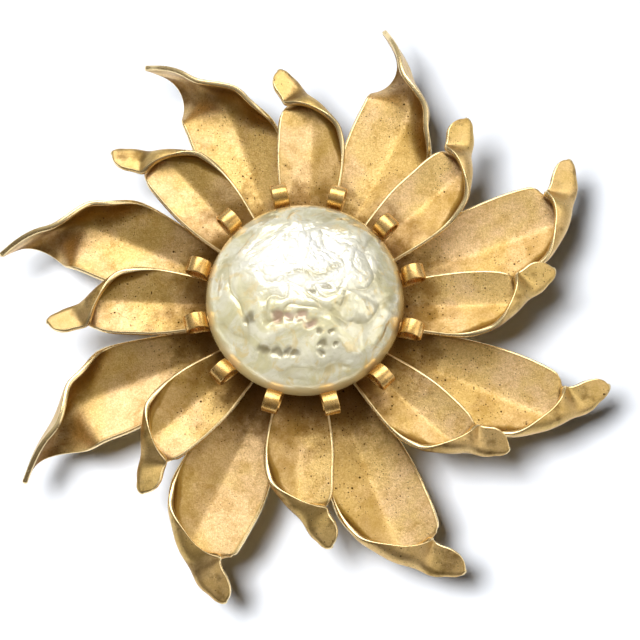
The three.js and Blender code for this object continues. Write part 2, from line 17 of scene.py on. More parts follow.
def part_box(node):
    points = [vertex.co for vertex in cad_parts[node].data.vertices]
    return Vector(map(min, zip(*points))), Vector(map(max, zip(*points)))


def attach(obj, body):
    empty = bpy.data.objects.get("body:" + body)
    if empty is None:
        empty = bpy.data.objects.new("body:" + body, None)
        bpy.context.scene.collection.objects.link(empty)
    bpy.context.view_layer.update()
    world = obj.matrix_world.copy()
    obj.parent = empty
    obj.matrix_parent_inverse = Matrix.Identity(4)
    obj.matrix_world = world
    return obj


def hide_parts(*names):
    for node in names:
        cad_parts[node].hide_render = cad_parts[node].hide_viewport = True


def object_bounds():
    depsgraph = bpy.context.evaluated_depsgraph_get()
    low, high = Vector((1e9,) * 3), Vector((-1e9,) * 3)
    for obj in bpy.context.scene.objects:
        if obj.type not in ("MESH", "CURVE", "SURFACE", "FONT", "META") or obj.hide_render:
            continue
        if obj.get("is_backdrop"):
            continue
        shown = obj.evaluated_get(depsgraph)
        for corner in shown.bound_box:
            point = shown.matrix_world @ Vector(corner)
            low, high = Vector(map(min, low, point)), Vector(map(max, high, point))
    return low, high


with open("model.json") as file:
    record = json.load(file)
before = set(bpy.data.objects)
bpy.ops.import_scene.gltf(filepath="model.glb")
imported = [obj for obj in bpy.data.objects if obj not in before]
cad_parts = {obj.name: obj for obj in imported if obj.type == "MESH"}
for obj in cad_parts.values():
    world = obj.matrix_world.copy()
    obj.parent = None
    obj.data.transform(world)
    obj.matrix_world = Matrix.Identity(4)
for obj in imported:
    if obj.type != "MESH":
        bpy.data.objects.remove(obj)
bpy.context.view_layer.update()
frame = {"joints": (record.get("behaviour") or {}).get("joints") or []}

MM = 0.001
TAU = 2 * math.pi


def box_mm(node):
    low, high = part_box(node)
    return np.array(low) / MM, np.array(high) / MM


# ---- driving dimensions

BRAZE = 0.05  # film between two pieces that are brazed, cemented or clamped
SHEET = 0.7  # petal sheet
RIM_POWER = 2.6  # 2 rounds an edge as a half circle, more makes it squarer

PETALS_PER_LAYER = 8
# Nearly the frame's petal, with rounder tips. It runs outwards from its root, its left edge is the
# anticlockwise one, and places along it are 0 to 1. Each side has its own half width, which narrows
# to the tip's, and the later the higher its hold is. The right edge turns up as a lip, and then the
# fold wanders from the right edge over to the left: what is right of it is turned over by flip degrees.
FRONT_PETAL = {
    "root": 5, "length": 28.4, "bend": 56, "bend_from": 0.68, "bend_to": 0.93,
    "root_rise": 0.4, "body_rise": 0.6, "tip_rise": 1.3,
    "root_half": 1.7, "widest_at": 0.56,
    "left_half": 4.5, "left_tip": 1.2, "left_to": 0.94, "left_hold": 1.65,
    "right_half": 4.6, "right_tip": 2.3, "right_to": 0.98, "right_hold": 1.2,
    "left_slope": -14, "right_slope": 14,
    "flip": 165, "soft": 0.5, "lip": 0.2, "lip_from": 0.38, "lip_to": 0.72,
    "fold_from": 0.64, "fold_to": 1.09,
}
REAR_PETAL = {
    "root": 5, "length": 38, "bend": 74, "bend_from": 0.7, "bend_to": 0.94,
    "root_rise": 0.4, "body_rise": 0.25, "tip_rise": 0.85,
    "root_half": 1.8, "widest_at": 0.58,
    "left_half": 6.2, "left_tip": 1.2, "left_to": 0.94, "left_hold": 1.65,
    "right_half": 6, "right_tip": 2.3, "right_to": 0.98, "right_hold": 1.2,
    "left_slope": -12, "right_slope": 14,
    "flip": 165, "soft": 0.42, "lip": 0.2, "lip_from": 0.42, "lip_to": 0.74,
    "fold_from": 0.66, "fold_to": 1.09,
}
# A tip that is turned over flat and broad, and one that only stands up, like a breaking wave.
BROAD_TIP = {"right_tip": 2.6}
OPEN_TIP = {
    "bend": 60, "bend_from": 0.58, "bend_to": 0.95,
    "left_tip": 0.8, "left_to": 1, "right_half": 5.7, "right_tip": 0.9, "right_to": 1, "right_hold": 1.7,
    "flip": 100, "soft": 0.7, "lip": 0.34, "lip_to": 0.66, "fold_from": 0.64, "fold_to": 1,
}
FRONT_FIRST_ANGLE = 90
FRONT_HAND = [
    {"turn": -2, "length": 29},
    {**BROAD_TIP, "turn": -3, "length": 29.8, "bend": 60},
    {**BROAD_TIP, "turn": 1, "length": 28.6},
    {**BROAD_TIP, "turn": 1, "length": 28},
    {"turn": -2, "length": 27.6},
    {"turn": -3, "length": 28},
    {"turn": -2, "bend": 38},
    {"turn": -3, "length": 29},
]
REAR_FIRST_ANGLE = 67.5
REAR_HAND = [
    {**OPEN_TIP, "turn": -4, "length": 38.6},
    {"turn": -1.5, "length": 39.4, "bend": 80},
    {"turn": -1},
    {**BROAD_TIP, "turn": -1.5, "length": 37},
    {"turn": -3, "length": 37.2, "bend": 80},
    {**OPEN_TIP, "turn": -0.5, "length": 38.6, "bend": 50},
    {**OPEN_TIP, "turn": -1, "length": 38},
    {**OPEN_TIP, "turn": -2.5, "length": 38},
]


# ---- numbers

def ease(start, end, x):
    t = np.clip((x - start) / (end - start), 0, 1)
    return t * t * (3 - 2 * t)


def share(start, end, x):
    return np.clip((x - start) / (end - start), 0, 1)


def mix(a, b, t):
    return a + (b - a) * t


def turned_about_z(points, degrees):
    a = math.radians(degrees)
    x = points[..., 0] * math.cos(a) - points[..., 1] * math.sin(a)
    y = points[..., 0] * math.sin(a) + points[..., 1] * math.cos(a)
    return np.stack([x, y, points[..., 2]], axis=-1)


class Noise:
    """Smooth seeded gradient noise of points in three dimensions, about -1 to 1."""

    SIZE = 256

    def __init__(self, seed):
        random = np.random.default_rng(seed)
        self.order = random.permutation(self.SIZE)
        slopes = random.normal(size=(self.SIZE, 3))
        self.slopes = slopes / np.linalg.norm(slopes, axis=1, keepdims=True)

    def __call__(self, x, y, z=0.0):
        p = np.stack(np.broadcast_arrays(x, y, z), axis=-1).astype(float)
        cell = np.floor(p).astype(int)
        inside = p - cell
        fade = inside ** 3 * (inside * (inside * 6 - 15) + 10)
        total = 0.0
        for corner in np.ndindex(2, 2, 2):
            i, j, k = ((cell[..., n] + corner[n]) % self.SIZE for n in range(3))
            pick = self.order[(self.order[(self.order[i] + j) % self.SIZE] + k) % self.SIZE]
            weight = np.prod(np.where(corner, fade, 1 - fade), axis=-1)
            total = total + weight * np.sum(self.slopes[pick] * (inside - corner), axis=-1)
        return total * 1.6


# ---- meshes

def new_object(name, mesh):
    made = bpy.data.objects.new(name, mesh)
    bpy.context.scene.collection.objects.link(made)
    return made


def mesh_object(name, points_mm, faces, attributes=None):
    """A smooth-shaded mesh object from points in millimetres; attributes are one value a point."""
    mesh = bpy.data.meshes.new(name)
    mesh.from_pydata((np.asarray(points_mm, float) * MM).tolist(), [], [list(f) for f in faces])
    for label, values in (attributes or {}).items():
        layer = mesh.attributes.new(label, "FLOAT", "POINT")
        layer.data.foreach_set("value", np.asarray(values, np.float32).ravel())
    weld(mesh)
    mesh.shade_smooth()
    return new_object(name, mesh)


def weld(mesh):
    """Merges points that coincide and turns every face outwards."""
    work = bmesh.new()
    work.from_mesh(mesh)
    bmesh.ops.remove_doubles(work, verts=work.verts, dist=1e-7)
    bmesh.ops.dissolve_degenerate(work, edges=work.edges, dist=1e-7)
    bmesh.ops.recalc_face_normals(work, faces=work.faces)
    work.to_mesh(mesh)
    work.free()


def evaluated_mesh(made):
    bpy.context.view_layer.update()
    graph = bpy.context.evaluated_depsgraph_get()
    return bpy.data.meshes.new_from_object(made.evaluated_get(graph))


def joined(body, tools):
    """Joins the tools to the body and removes them."""
    for tool in tools:
        step = body.modifiers.new("UNION", "BOOLEAN")
        step.operation = "UNION"
        step.solver = "EXACT"
        step.object = tool
    final = evaluated_mesh(body)
    body.modifiers.clear()
    used = [body.data] + [tool.data for tool in tools]
    body.data = final
    for tool in tools:
        bpy.data.objects.remove(tool)
    for mesh in used:
        bpy.data.meshes.remove(mesh)
    final.shade_smooth()
    return body


def filleted(corners, radius, steps=5):
    """The outline through the corners, each rounded by an arc-like curve of about that radius."""
    corners = [np.array(c, float) for c in corners]
    points = [corners[0]]
    for before, corner, after in zip(corners, corners[1:], corners[2:]):
        back, on = before - corner, after - corner
        reach = min(radius, 0.45 * np.linalg.norm(back), 0.45 * np.linalg.norm(on))
        start = corner + back / np.linalg.norm(back) * reach
        end = corner + on / np.linalg.norm(on) * reach
        for t in np.linspace(0, 1, steps + 1):
            points.append((1 - t) ** 2 * start + 2 * t * (1 - t) * corner + t * t * end)
    return points + [corners[-1]]


def ring_faces(rings, count):
    """Quads between each closed ring of points and the next."""
    faces = []
    for i in range(rings - 1):
        for j in range(count):
            k = (j + 1) % count
            faces.append((i * count + j, i * count + k, (i + 1) * count + k, (i + 1) * count + j))
    return faces


def lathe(name, profile, sides=128):
    """A solid of revolution about Z from [radius, z] pairs that close on the axis or on themselves."""
    profile = np.asarray(profile, float)
    angles = np.arange(sides) / sides * TAU
    radius = profile[:, None, 0]
    height = np.broadcast_to(profile[:, None, 1], (len(profile), sides))
    points = np.stack([radius * np.cos(angles), radius * np.sin(angles), height], axis=-1).reshape(-1, 3)
    return mesh_object(name, points, ring_faces(len(profile), sides))


def arc(centre, radius, start, end, steps):
    """Points of an arc, angles in degrees."""
    angles = np.radians(np.linspace(start, end, steps + 1))
    return np.stack([centre[0] + radius * np.cos(angles), centre[1] + radius * np.sin(angles)], axis=-1)


def rounded_rectangle(low, high, radius, steps=6):
    corners = [(high[0] - radius, high[1] - radius, 0), (low[0] + radius, high[1] - radius, 90),
               (low[0] + radius, low[1] + radius, 180), (high[0] - radius, low[1] + radius, 270)]
    return np.concatenate([arc((a, b), radius, start, start + 90, steps) for a, b, start in corners])


def plate(name, loops, low, high, bevel, place):
    """A flat piece with rounded edges: loops of 2D points, the outline and then its holes, pushed from
    low to high; place turns them into the frame's axes."""
    curve = bpy.data.curves.new(name, "CURVE")
    curve.dimensions = "2D"
    curve.fill_mode = "BOTH"
    curve.extrude = (high - low) / 2 - bevel
    curve.bevel_depth = bevel
    curve.bevel_resolution = 2
    curve.offset = -bevel
    for loop in loops:
        spline = curve.splines.new("POLY")
        spline.points.add(len(loop) - 1)
        for point, (a, b) in zip(spline.points, loop):
            point.co = (a, b, 0, 1)
        spline.use_cyclic_u = True
    shape = new_object(name, curve)
    mesh = evaluated_mesh(shape)
    bpy.data.objects.remove(shape)
    bpy.data.curves.remove(curve)
    flat = np.array([v.co for v in mesh.vertices])
    middle = (low + high) / 2
    for vertex, (a, b, c) in zip(mesh.vertices, flat):
        vertex.co = Vector(place(a, b, c + middle)) * MM
    weld(mesh)
    mesh.shade_smooth()
    return new_object(name, mesh)


# ---- petals

STATIONS = 120  # along a petal
TIP_STATIONS = 24  # of them in its round end
LANES = 44  # across one skin
RIM_STEPS = 7  # round each cut edge
FINE_LANES = 120  # where the surface is worked out before the skins are laid on it
LINE_STEPS = 640  # of the middle line
RIM = 0.3  # how far the edge rounding reaches in from the edge
MOST_RIM = 0.45  # and at most this share of the half width
TIP_FROM = 0.94  # where the round end begins
TIP_ROUNDING = 0.985  # how nearly the end closes, 1 for fully
TIP_CLOSE = 0.35  # the sheet's thickness runs out over this length
SOFT_LANDING = 0.15  # how gently the sides run into the narrow tip
WIDENING_POWER = 1.5
FOLD_START = 0.14  # the share of its way in which the fold gathers speed
TROUGH_OPENS = (0.08, 0.3)  # the flat root opens into a trough
BODY_RISES = (0.1, 0.5)
TIP_RISES = (0.5, 1)
CREASE = {"left": -6, "right": 14, "sharp": 0.07, "wide": 0.8}  # down a petal's middle, in degrees
EDGE_BAND = (0.12, 0.4)  # how far from the edge its polish and its painted highlight fade
SHADED_STRIP = {"from": 0.04, "along": (0.22, 0.5)}  # the strip beyond the crease, painted darker olive as shade
# Hand work: dents in the sheet, and edges that waver between a still root and a still tip.
UNEVEN = {
    "height": 0.05, "every": 7.0, "fine_share": 0.3, "finer": 2.2, "fine_slice": 5.5,
    "edge": 0.1, "edge_every": 5.0, "edge_places": (0.5, 6.5), "edge_slice": 3.7,
    "starts": (0.1, 0.3), "edge_stops": (0.65, 0.9),
}


def running_sum(values):
    """The trapezoid sum up to each of the values."""
    return np.concatenate([[0], np.cumsum((values[1:] + values[:-1]) / 2)])


def middle_line(style, u):
    """The middle line in plan, and its heading in radians: straight, then swinging anticlockwise."""
    fine = np.linspace(0, 1, LINE_STEPS + 1)
    heading = math.radians(style["bend"]) * ease(style["bend_from"], style["bend_to"], fine)
    step = style["length"] / LINE_STEPS
    x = style["root"] + running_sum(np.cos(heading)) * step
    y = running_sum(np.sin(heading)) * step
    return np.interp(u, fine, x), np.interp(u, fine, y), np.interp(u, fine, heading)


def landed(fall):
    """Goes from 1 to 0 as fall goes from 0 to 1, and lands softly."""
    left_over = np.hypot(np.cos(fall * math.pi / 2), SOFT_LANDING) - SOFT_LANDING
    return left_over / (math.hypot(1, SOFT_LANDING) - SOFT_LANDING)


def half_widths(style, u):
    """From the middle line to the left edge, and to the right one."""
    widening = np.sin(share(0, style["widest_at"], u) * math.pi / 2) ** WIDENING_POWER
    end = np.sqrt(1 - TIP_ROUNDING * share(TIP_FROM, 1, u) ** 2)
    halves = []
    for side in ("left", "right"):
        widest = style[f"{side}_half"]
        fall = share(style["widest_at"], style[f"{side}_to"], u) ** style[f"{side}_hold"]
        narrowed = mix(style[f"{side}_tip"], widest, landed(fall))
        grown = mix(style["root_half"], widest, widening)
        halves.append(np.where(u < style["widest_at"], grown, narrowed) * end)
    return halves


def fold_place(style, u):
    """Where across the section the fold is: beyond the right edge, 1, then over towards the left, -1."""
    lip = style["lip"] * ease(style["lip_from"], style["lip_to"], u)
    along = share(style["fold_from"], style["fold_to"], u)
    eased = np.where(along < FOLD_START, along ** 2 / (2 * FOLD_START), along - FOLD_START / 2)
    crossing = (1 - style["lip"]) * eased / (1 - FOLD_START / 2)
    return (1 + style["soft"]) * (1 - 2 * (lip + crossing))


def petal_slopes(style, u, v, creased=1.0):
    """The section's slope in radians across the petal, from its left edge, v = -1, to its right, v = 1."""
    opened = ease(*TROUGH_OPENS, u) * (1 - ease(style["fold_from"], 1, u))
    slope = mix(style["left_slope"], style["right_slope"], (v + 1) / 2)
    side = 0.5 + 0.5 * np.tanh(v / CREASE["sharp"])
    crease = mix(CREASE["left"], CREASE["right"], side) * np.exp(-(v / CREASE["wide"]) ** 2)
    turned_over = style["flip"] * ease(-1, 1, (v - fold_place(style, u)) / style["soft"])
    return np.radians((slope + creased * crease) * opened + turned_over)


def petal_sections(style, u, v):
    """Each station's section for a half width of 1: how far across and how high from the middle line."""
    slope = petal_slopes(style, u[:, None], ((v[:-1] + v[1:]) / 2)[None, :])
    line = []
    for steps in (np.cos(slope), np.sin(slope)):
        reached = np.concatenate([np.zeros((len(u), 1)), np.cumsum(steps, axis=1)], axis=1) * 2 / FINE_LANES
        line.append(reached - reached[:, FINE_LANES // 2][:, None])
    return line


def wavering_halves(style, u, noise):
    """The two half widths, with edges that waver a little."""
    run = u * style["length"] / UNEVEN["edge_every"]
    moving = ease(*UNEVEN["starts"], u), 1 - ease(*UNEVEN["edge_stops"], u)
    return [
        half + UNEVEN["edge"] * noise(run, place, UNEVEN["edge_slice"]) * moving[0] * moving[1]
        for place, half in zip(UNEVEN["edge_places"], half_widths(style, u))
    ]


def dented(points, normals, u, noise):
    """The points, pushed along their normals by shallow dents."""
    spot = points / UNEVEN["every"]
    dents = noise(spot[..., 0], spot[..., 1], spot[..., 2])
    finer = (UNEVEN["finer"] * spot[..., k] + UNEVEN["fine_slice"] for k in range(3))
    dents = dents + UNEVEN["fine_share"] * noise(*finer)
    held = ease(*UNEVEN["starts"], u)[:, None]
    return points + normals * (UNEVEN["height"] * dents * held)[..., None]


def petal_surface(style, base, u, noise):
    """The middle surface at stations u on a fine grid across: points, normals, half widths and curl."""
    v = np.linspace(-1, 1, FINE_LANES + 1)
    across, up = petal_sections(style, u, v)
    x, y, heading = middle_line(style, u)
    sides = wavering_halves(style, u, noise)
    half = np.where(v[None, :] < 0, sides[0][:, None], sides[1][:, None])
    z = base + mix(style["root_rise"], style["body_rise"], ease(*BODY_RISES, u))
    z = z + (style["tip_rise"] - style["body_rise"]) * ease(*TIP_RISES, u)
    points = np.stack([
        x[:, None] + np.sin(heading)[:, None] * half * across,
        y[:, None] - np.cos(heading)[:, None] * half * across,
        z[:, None] + half * up,
    ], axis=-1)
    normals = np.cross(np.gradient(points, v, axis=1), np.gradient(points, u, axis=0))
    normals /= np.linalg.norm(normals, axis=-1, keepdims=True)
    curl = np.gradient(petal_slopes(style, u[:, None], v[None, :], 0.0), v, axis=1) / half
    return v, dented(points, normals, u, noise), normals, sides, curl


def section_ring(left, right):
    """Round one section: places across, -1 to 1, and heights between the skins, -1 to 1."""
    left_reach, right_reach = min(RIM / left, MOST_RIM), min(RIM / right, MOST_RIM)
    skin = np.linspace(-1 + left_reach, 1 - right_reach, LANES + 1)
    turn = np.linspace(math.pi / 2, -math.pi / 2, RIM_STEPS + 2)[1:-1]
    out = np.abs(np.cos(turn)) ** (2 / RIM_POWER)
    height = np.sign(np.sin(turn)) * np.abs(np.sin(turn)) ** (2 / RIM_POWER)
    right_rim = 1 - right_reach * (1 - out)
    left_rim = -1 + left_reach * (1 - out)
    across = np.concatenate([skin, right_rim, skin[::-1], left_rim])
    heights = np.concatenate([np.ones(LANES + 1), height, -np.ones(LANES + 1), -height])
    return across, heights


def petal_stations():
    body = np.linspace(0, TIP_FROM, STATIONS - TIP_STATIONS)[:-1]
    tip = TIP_FROM + (1 - TIP_FROM) * np.sin(np.linspace(0, 1, TIP_STATIONS + 1) * math.pi / 2)
    return np.concatenate([body, tip])


def fine_petal(name, style, base, angle, seed):
    """A sheet of even thickness along the middle surface, with what colours it at each point."""
    u = petal_stations()
    v, surface, normals, sides, curl = petal_surface(style, base, u, Noise(seed))
    closing = np.clip(1 - (1 - u) * style["length"] / TIP_CLOSE, 0, 1)
    thickness = (1 - closing ** RIM_POWER) ** (1 / RIM_POWER)
    rings = []
    marks = {"edge": [], "back": [], "hollow_shade": [], "strip": []}
    for i, (left, right) in enumerate(zip(*sides)):
        across, heights = section_ring(left, right)
        point, normal = (
            np.stack([np.interp(across, v, rows[i, :, k]) for k in range(3)], axis=-1)
            for rows in (surface, normals)
        )
        normal /= np.linalg.norm(normal, axis=-1, keepdims=True)
        rings.append(point + normal * (heights * thickness[i] * SHEET / 2)[:, None])
        to_edge = (1 - np.abs(across)) * np.where(across < 0, left, right)
        beyond_crease = 0.5 + 0.5 * np.tanh((across - SHADED_STRIP["from"]) / CREASE["sharp"])
        marks["edge"].append(np.maximum(1 - ease(*EDGE_BAND, to_edge), closing[i]))
        marks["back"].append(0.5 - 0.5 * heights)
        # how hollow the rolled sheet is there, which the material uses to paint shade
        marks["hollow_shade"].append(np.clip(np.interp(across, v, curl[i]) * heights, -1, 1))
        # the front skin beyond the crease, which the material paints darker as shade
        marks["strip"].append(beyond_crease * np.clip(heights, 0, 1) * ease(*SHADED_STRIP["along"], u[i]))
    count = len(rings[0])
    points = turned_about_z(np.concatenate(rings), angle)
    faces = [tuple(range(count))] + ring_faces(len(rings), count)
    return mesh_object(name, points, faces, {label: np.concatenate(found) for label, found in marks.items()})


def petal_layer(layer, style, hub, first_angle, hands, material, seed):
    base = box_mm(hub)[1][2]
    for i, own in enumerate(hands):
        angle = first_angle - i * 360 / PETALS_PER_LAYER + own["turn"]
        node = f"{layer}_petal_{i + 1}"
        petal = fine_petal(f"{node}_fine", {**style, **own}, base, angle, seed + i)
        finish_piece(petal, "flower", material, "satin_gold", node)


def finish_piece(made, body, material, slot, *nodes):
    """Gives the piece its material, puts it on its body and hides the nodes it stands for."""
    made.data.materials.clear()
    made.data.materials.append(material)
    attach(made, body)
    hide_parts(*nodes)


# ---- material nodes

class Nodes:
    """A short way to write a material; where is the place on the object in millimetres."""

    def __init__(self, name):
        self.material = bpy.data.materials.new(name)
        self.material.use_nodes = True
        self.tree = self.material.node_tree
        self.tree.nodes.clear()
        self.output = self.tree.nodes.new("ShaderNodeOutputMaterial")
        place = self.add("TexCoord").outputs["Object"]
        self.where = self.add("VectorMath", {0: place, "Scale": 1 / MM}, operation="SCALE").outputs[0]

    def add(self, kind, inputs=None, **settings):
        node = self.tree.nodes.new("ShaderNode" + kind)
        for key, value in settings.items():
            setattr(node, key, value)
        for key, value in (inputs or {}).items():
            self.feed(node.inputs[key], value)
        return node

    def feed(self, socket, value):
        if isinstance(value, bpy.types.NodeSocket):
            self.tree.links.new(value, socket)
        else:
            socket.default_value = value

    def math(self, operation, a, b):
        return self.add("Math", {0: a, 1: b}, operation=operation).outputs[0]

    def plus(self, a, b):
        return self.math("ADD", a, b)

    def minus(self, a, b):
        return self.math("SUBTRACT", a, b)

    def times(self, a, b):
        return self.math("MULTIPLY", a, b)

    def stretched(self, factors):
        return self.add("VectorMath", {0: self.where, 1: factors}, operation="MULTIPLY").outputs[0]

    def range(self, value, low, high, to_low=0.0, to_high=1.0):
        inputs = {"Value": value, "From Min": low, "From Max": high, "To Min": to_low, "To Max": to_high}
        return self.add("MapRange", inputs, interpolation_type="SMOOTHSTEP").outputs[0]

    def blend(self, amount, a, b):
        """Colour a, and as much of colour b as the amount says."""
        node = self.add("Mix", data_type="RGBA")
        self.feed(node.inputs["Factor"], amount)
        self.feed(node.inputs[6], a)
        self.feed(node.inputs[7], b)
        return node.outputs[2]

    def noise(self, scale, detail=3.0, roughness=0.5, distortion=0.0, where=None):
        inputs = {"Vector": where or self.where, "Scale": scale, "Detail": detail,
                  "Roughness": roughness, "Distortion": distortion}
        return self.add("TexNoise", inputs).outputs["Fac"]

    def spots(self, scale):
        """How far the nearest spot is, and a colour that is the spot's own."""
        node = self.add("TexVoronoi", {"Vector": self.where, "Scale": scale})
        return node.outputs["Distance"], node.outputs["Color"]

    def value(self, label):
        return self.add("Attribute", attribute_name=label).outputs["Fac"]

    def bump(self, height, strength, distance_mm, normal=None):
        inputs = {"Height": height, "Strength": strength, "Distance": distance_mm * MM}
        if normal is not None:
            inputs["Normal"] = normal
        return self.add("Bump", inputs).outputs[0]

    def shader(self, **inputs):
        node = self.add("BsdfPrincipled", {k.replace("_", " "): v for k, v in inputs.items()})
        self.tree.links.new(node.outputs[0], self.output.inputs["Surface"])
        return self.material


def srgb(red, green, blue):
    """A colour given as it looks on a screen, 0 to 255."""
    channels = [c / 255 for c in (red, green, blue)]
    linear = [c / 12.92 if c <= 0.04045 else ((c + 0.055) / 1.055) ** 2.4 for c in channels]
    return (*linear, 1.0)


# ---- satin gold

# The hollow and strip colours are painted shade, the colour beside the edge is a painted dark reflection,
# and the polished colour is partly a painted highlight.
GOLD = {
    "rosy": srgb(243, 208, 154), "olive": srgb(234, 200, 130),
    "cloud": srgb(192, 148, 66), "blotch": srgb(172, 128, 62),
    "dark_grain": srgb(150, 106, 36), "bright_grain": srgb(252, 230, 194),
    "tarnish": srgb(116, 78, 18), "hollow_shade": srgb(112, 70, 10), "strip": srgb(160, 124, 48),
    "back": srgb(206, 174, 104), "stain": srgb(104, 70, 18), "speck": srgb(62, 36, 8),
    "edge_dark_reflection": srgb(150, 114, 52), "polished": srgb(250, 226, 172),
}
TARNISHED_TO, TARNISHED_FROM = 20.5, 13.0  # radii between which the tarnish round the stone ends
TARNISH_RAGGED = 16.0
SPECKS = ((1.0, 0.16, 0.6), (2.0, 0.22, 0.5), (3.4, 0.27, 0.4))  # a layer each: how close, how big, how dark


def gilding(n, cloud):
    """Gilding that drifts from rosy to olive, with darker clouds and a sandblasted grain."""
    drift = n.noise(0.14, 3.0, 0.55)
    colour = n.blend(n.range(drift, 0.4, 0.6), GOLD["rosy"], GOLD["olive"])
    colour = n.blend(n.range(cloud, 0.47, 0.7, 0, 0.42), colour, GOLD["cloud"])
    blotch = n.noise(1.7, 5.0, 0.7)
    colour = n.blend(n.range(blotch, 0.5, 0.72, 0, 0.3), colour, GOLD["blotch"])
    grain = n.noise(4.2, 3.0, 0.75)
    colour = n.blend(n.range(grain, 0.34, 0.64, 0.38, 0), colour, GOLD["dark_grain"])
    return n.blend(n.range(grain, 0.52, 0.78, 0, 0.3), colour, GOLD["bright_grain"])


def near_stone(n):
    """1 round the stone and 0 farther out, with a ragged border."""
    radius = n.add("VectorMath", {0: n.stretched((1, 1, 0))}, operation="LENGTH").outputs["Value"]
    ragged = n.times(n.minus(n.noise(0.34, 5.0, 0.65), 0.5), TARNISH_RAGGED)
    return n.range(n.plus(radius, ragged), TARNISHED_TO, TARNISHED_FROM)


def tarnished(n, colour, near, cloud, back):
    """Tarnish round the stone and on the back, painted shade in the rolled hollows, and a strip by the
    crease painted darker olive as shade.
    """
    colour = n.blend(n.times(near, 0.82), colour, GOLD["tarnish"])
    # painted shade: darker where the rolled sheet is hollow
    shade_in_hollows = n.range(n.plus(n.value("hollow_shade"), n.times(cloud, 0.35)), 0.28, 0.6, 0, 0.78)
    colour = n.blend(shade_in_hollows, colour, GOLD["hollow_shade"])
    # painted shade: the strip beyond the crease goes darker olive, in patches
    patches = n.range(n.noise(0.2, 4.0, 0.6), 0.35, 0.65, 0.3, 0.6)
    colour = n.blend(n.times(n.value("strip"), patches), colour, GOLD["strip"])
    colour = n.blend(n.times(back, 0.5), colour, GOLD["back"])
    stain = n.range(n.noise(0.26, 5.0, 0.62), 0.5, 0.66, 0, 0.65)
    return n.blend(n.times(stain, back), colour, GOLD["stain"])


def dark_specks(n, near):
    """Small dark specks in crowds, thickest near the stone."""
    crowd = n.range(n.plus(n.noise(0.12, 4.0, 0.6), n.times(near, 0.14)), 0.36, 0.6)
    speck = 0.0
    for scale, size, dark in SPECKS:
        distance, pick = n.spots(scale)
        big = n.times(n.range(n.add("SeparateColor", {0: pick}).outputs[0], 0.35, 1.0), size)
        inside = n.minus(n.times(big, crowd), distance)
        speck = n.math("MAXIMUM", speck, n.times(n.range(inside, -0.03, 0.05), dark + 0.4))
    return speck


def satin_gold(name):
    """Old gilt sheet with a sandblasted satin front, polished cut edges with a painted highlight and a
    painted dark reflection beside them, specks, tarnish and painted shade.
    """
    n = Nodes(name)
    edge = n.value("edge")
    back = n.value("back")
    cloud = n.noise(0.5, 6.0, 0.62, 0.5)
    near = near_stone(n)
    speck = dark_specks(n, near)
    colour = tarnished(n, gilding(n, cloud), near, cloud, back)
    colour = n.blend(n.times(speck, 0.95), colour, GOLD["speck"])

    # the polished edge, lighter as a painted highlight, with a painted dark reflection in the line beside it
    dark_reflection_band = n.times(n.range(edge, 0.0, 0.3), n.range(edge, 0.85, 0.45))
    colour = n.blend(n.times(dark_reflection_band, 0.45), colour, GOLD["edge_dark_reflection"])
    # real polish that makes the edge smoother, and a lighter colour that is a painted highlight
    polish_and_highlight = n.times(n.range(edge, 0.35, 0.9), n.range(n.noise(0.9, 3.0), 0.28, 0.5, 0.6, 1.0))
    colour = n.blend(n.times(polish_and_highlight, 0.9), colour, GOLD["polished"])

    rough = n.plus(n.range(cloud, 0.3, 0.7, 0.4, 0.5), n.times(near, 0.08))
    rough = n.minus(n.minus(rough, n.times(back, 0.06)), n.times(polish_and_highlight, 0.2))
    height = n.plus(n.noise(9.0, 3.0, 0.6), n.times(n.noise(2.2, 3.0), 0.9))
    normal = n.bump(height, n.range(edge, 0.2, 1.0, 0.32, 0.08), 0.12)
    pits = n.bump(n.minus(1.0, speck), 0.4, 0.04, normal)
    return n.shader(Base_Color=colour, Metallic=1.0, Roughness=rough, Normal=pits)


# ---- the other materials

def bright_gold(name, brush_axis):
    """Smooth gilt strip and fittings, finely brushed along one axis."""
    n = Nodes(name)
    cloud = n.noise(0.8, 4.0, 0.6)
    colour = n.blend(n.range(cloud, 0.4, 0.68), srgb(232, 192, 122), srgb(212, 166, 92))
    stretch = [7.0, 7.0, 7.0]
    stretch[brush_axis] = 0.8
    lines = n.noise(1.0, 3.0, 0.6, where=n.stretched(stretch))
    grime = n.range(n.noise(1.3, 5.0, 0.7), 0.56, 0.74, 0, 0.65)
    colour = n.blend(grime, colour, srgb(122, 80, 32))
    rough = n.plus(n.range(lines, 0.3, 0.7, 0.24, 0.33), n.times(grime, 0.15))
    normal = n.bump(n.plus(lines, n.noise(1.1, 3.0)), 0.22, 0.06)
    return n.shader(Base_Color=colour, Metallic=1.0, Roughness=rough, Normal=normal)


def pin_steel():
    """Gilt steel wire, drawn along X, its plating thin towards the point."""
    n = Nodes("pin_steel")
    along = n.add("SeparateXYZ", {0: n.where}).outputs[0]
    worn = n.range(n.plus(along, n.times(n.noise(0.7, 4.0), 9.0)), 2, 22)
    colour = n.blend(worn, srgb(222, 190, 130), srgb(205, 198, 184))
    lines = n.noise(1.0, 3.0, 0.6, where=n.stretched((0.6, 9, 9)))
    rough = n.range(lines, 0.3, 0.7, 0.2, 0.32)
    return n.shader(Base_Color=colour, Metallic=1.0, Roughness=rough, Normal=n.bump(lines, 0.2, 0.04))


def cement_material():
    """Old yellowed cement, grainy and slightly waxy."""
    n = Nodes("cement")
    cloud = n.noise(1.2, 5.0, 0.6)
    colour = n.blend(n.range(cloud, 0.35, 0.7), srgb(214, 203, 172), srgb(178, 160, 118))
    rough = n.range(cloud, 0.3, 0.7, 0.55, 0.75)
    normal = n.bump(n.noise(6.0, 4.0), 0.4, 0.1)
    return n.shader(Base_Color=colour, Roughness=rough, Normal=normal)


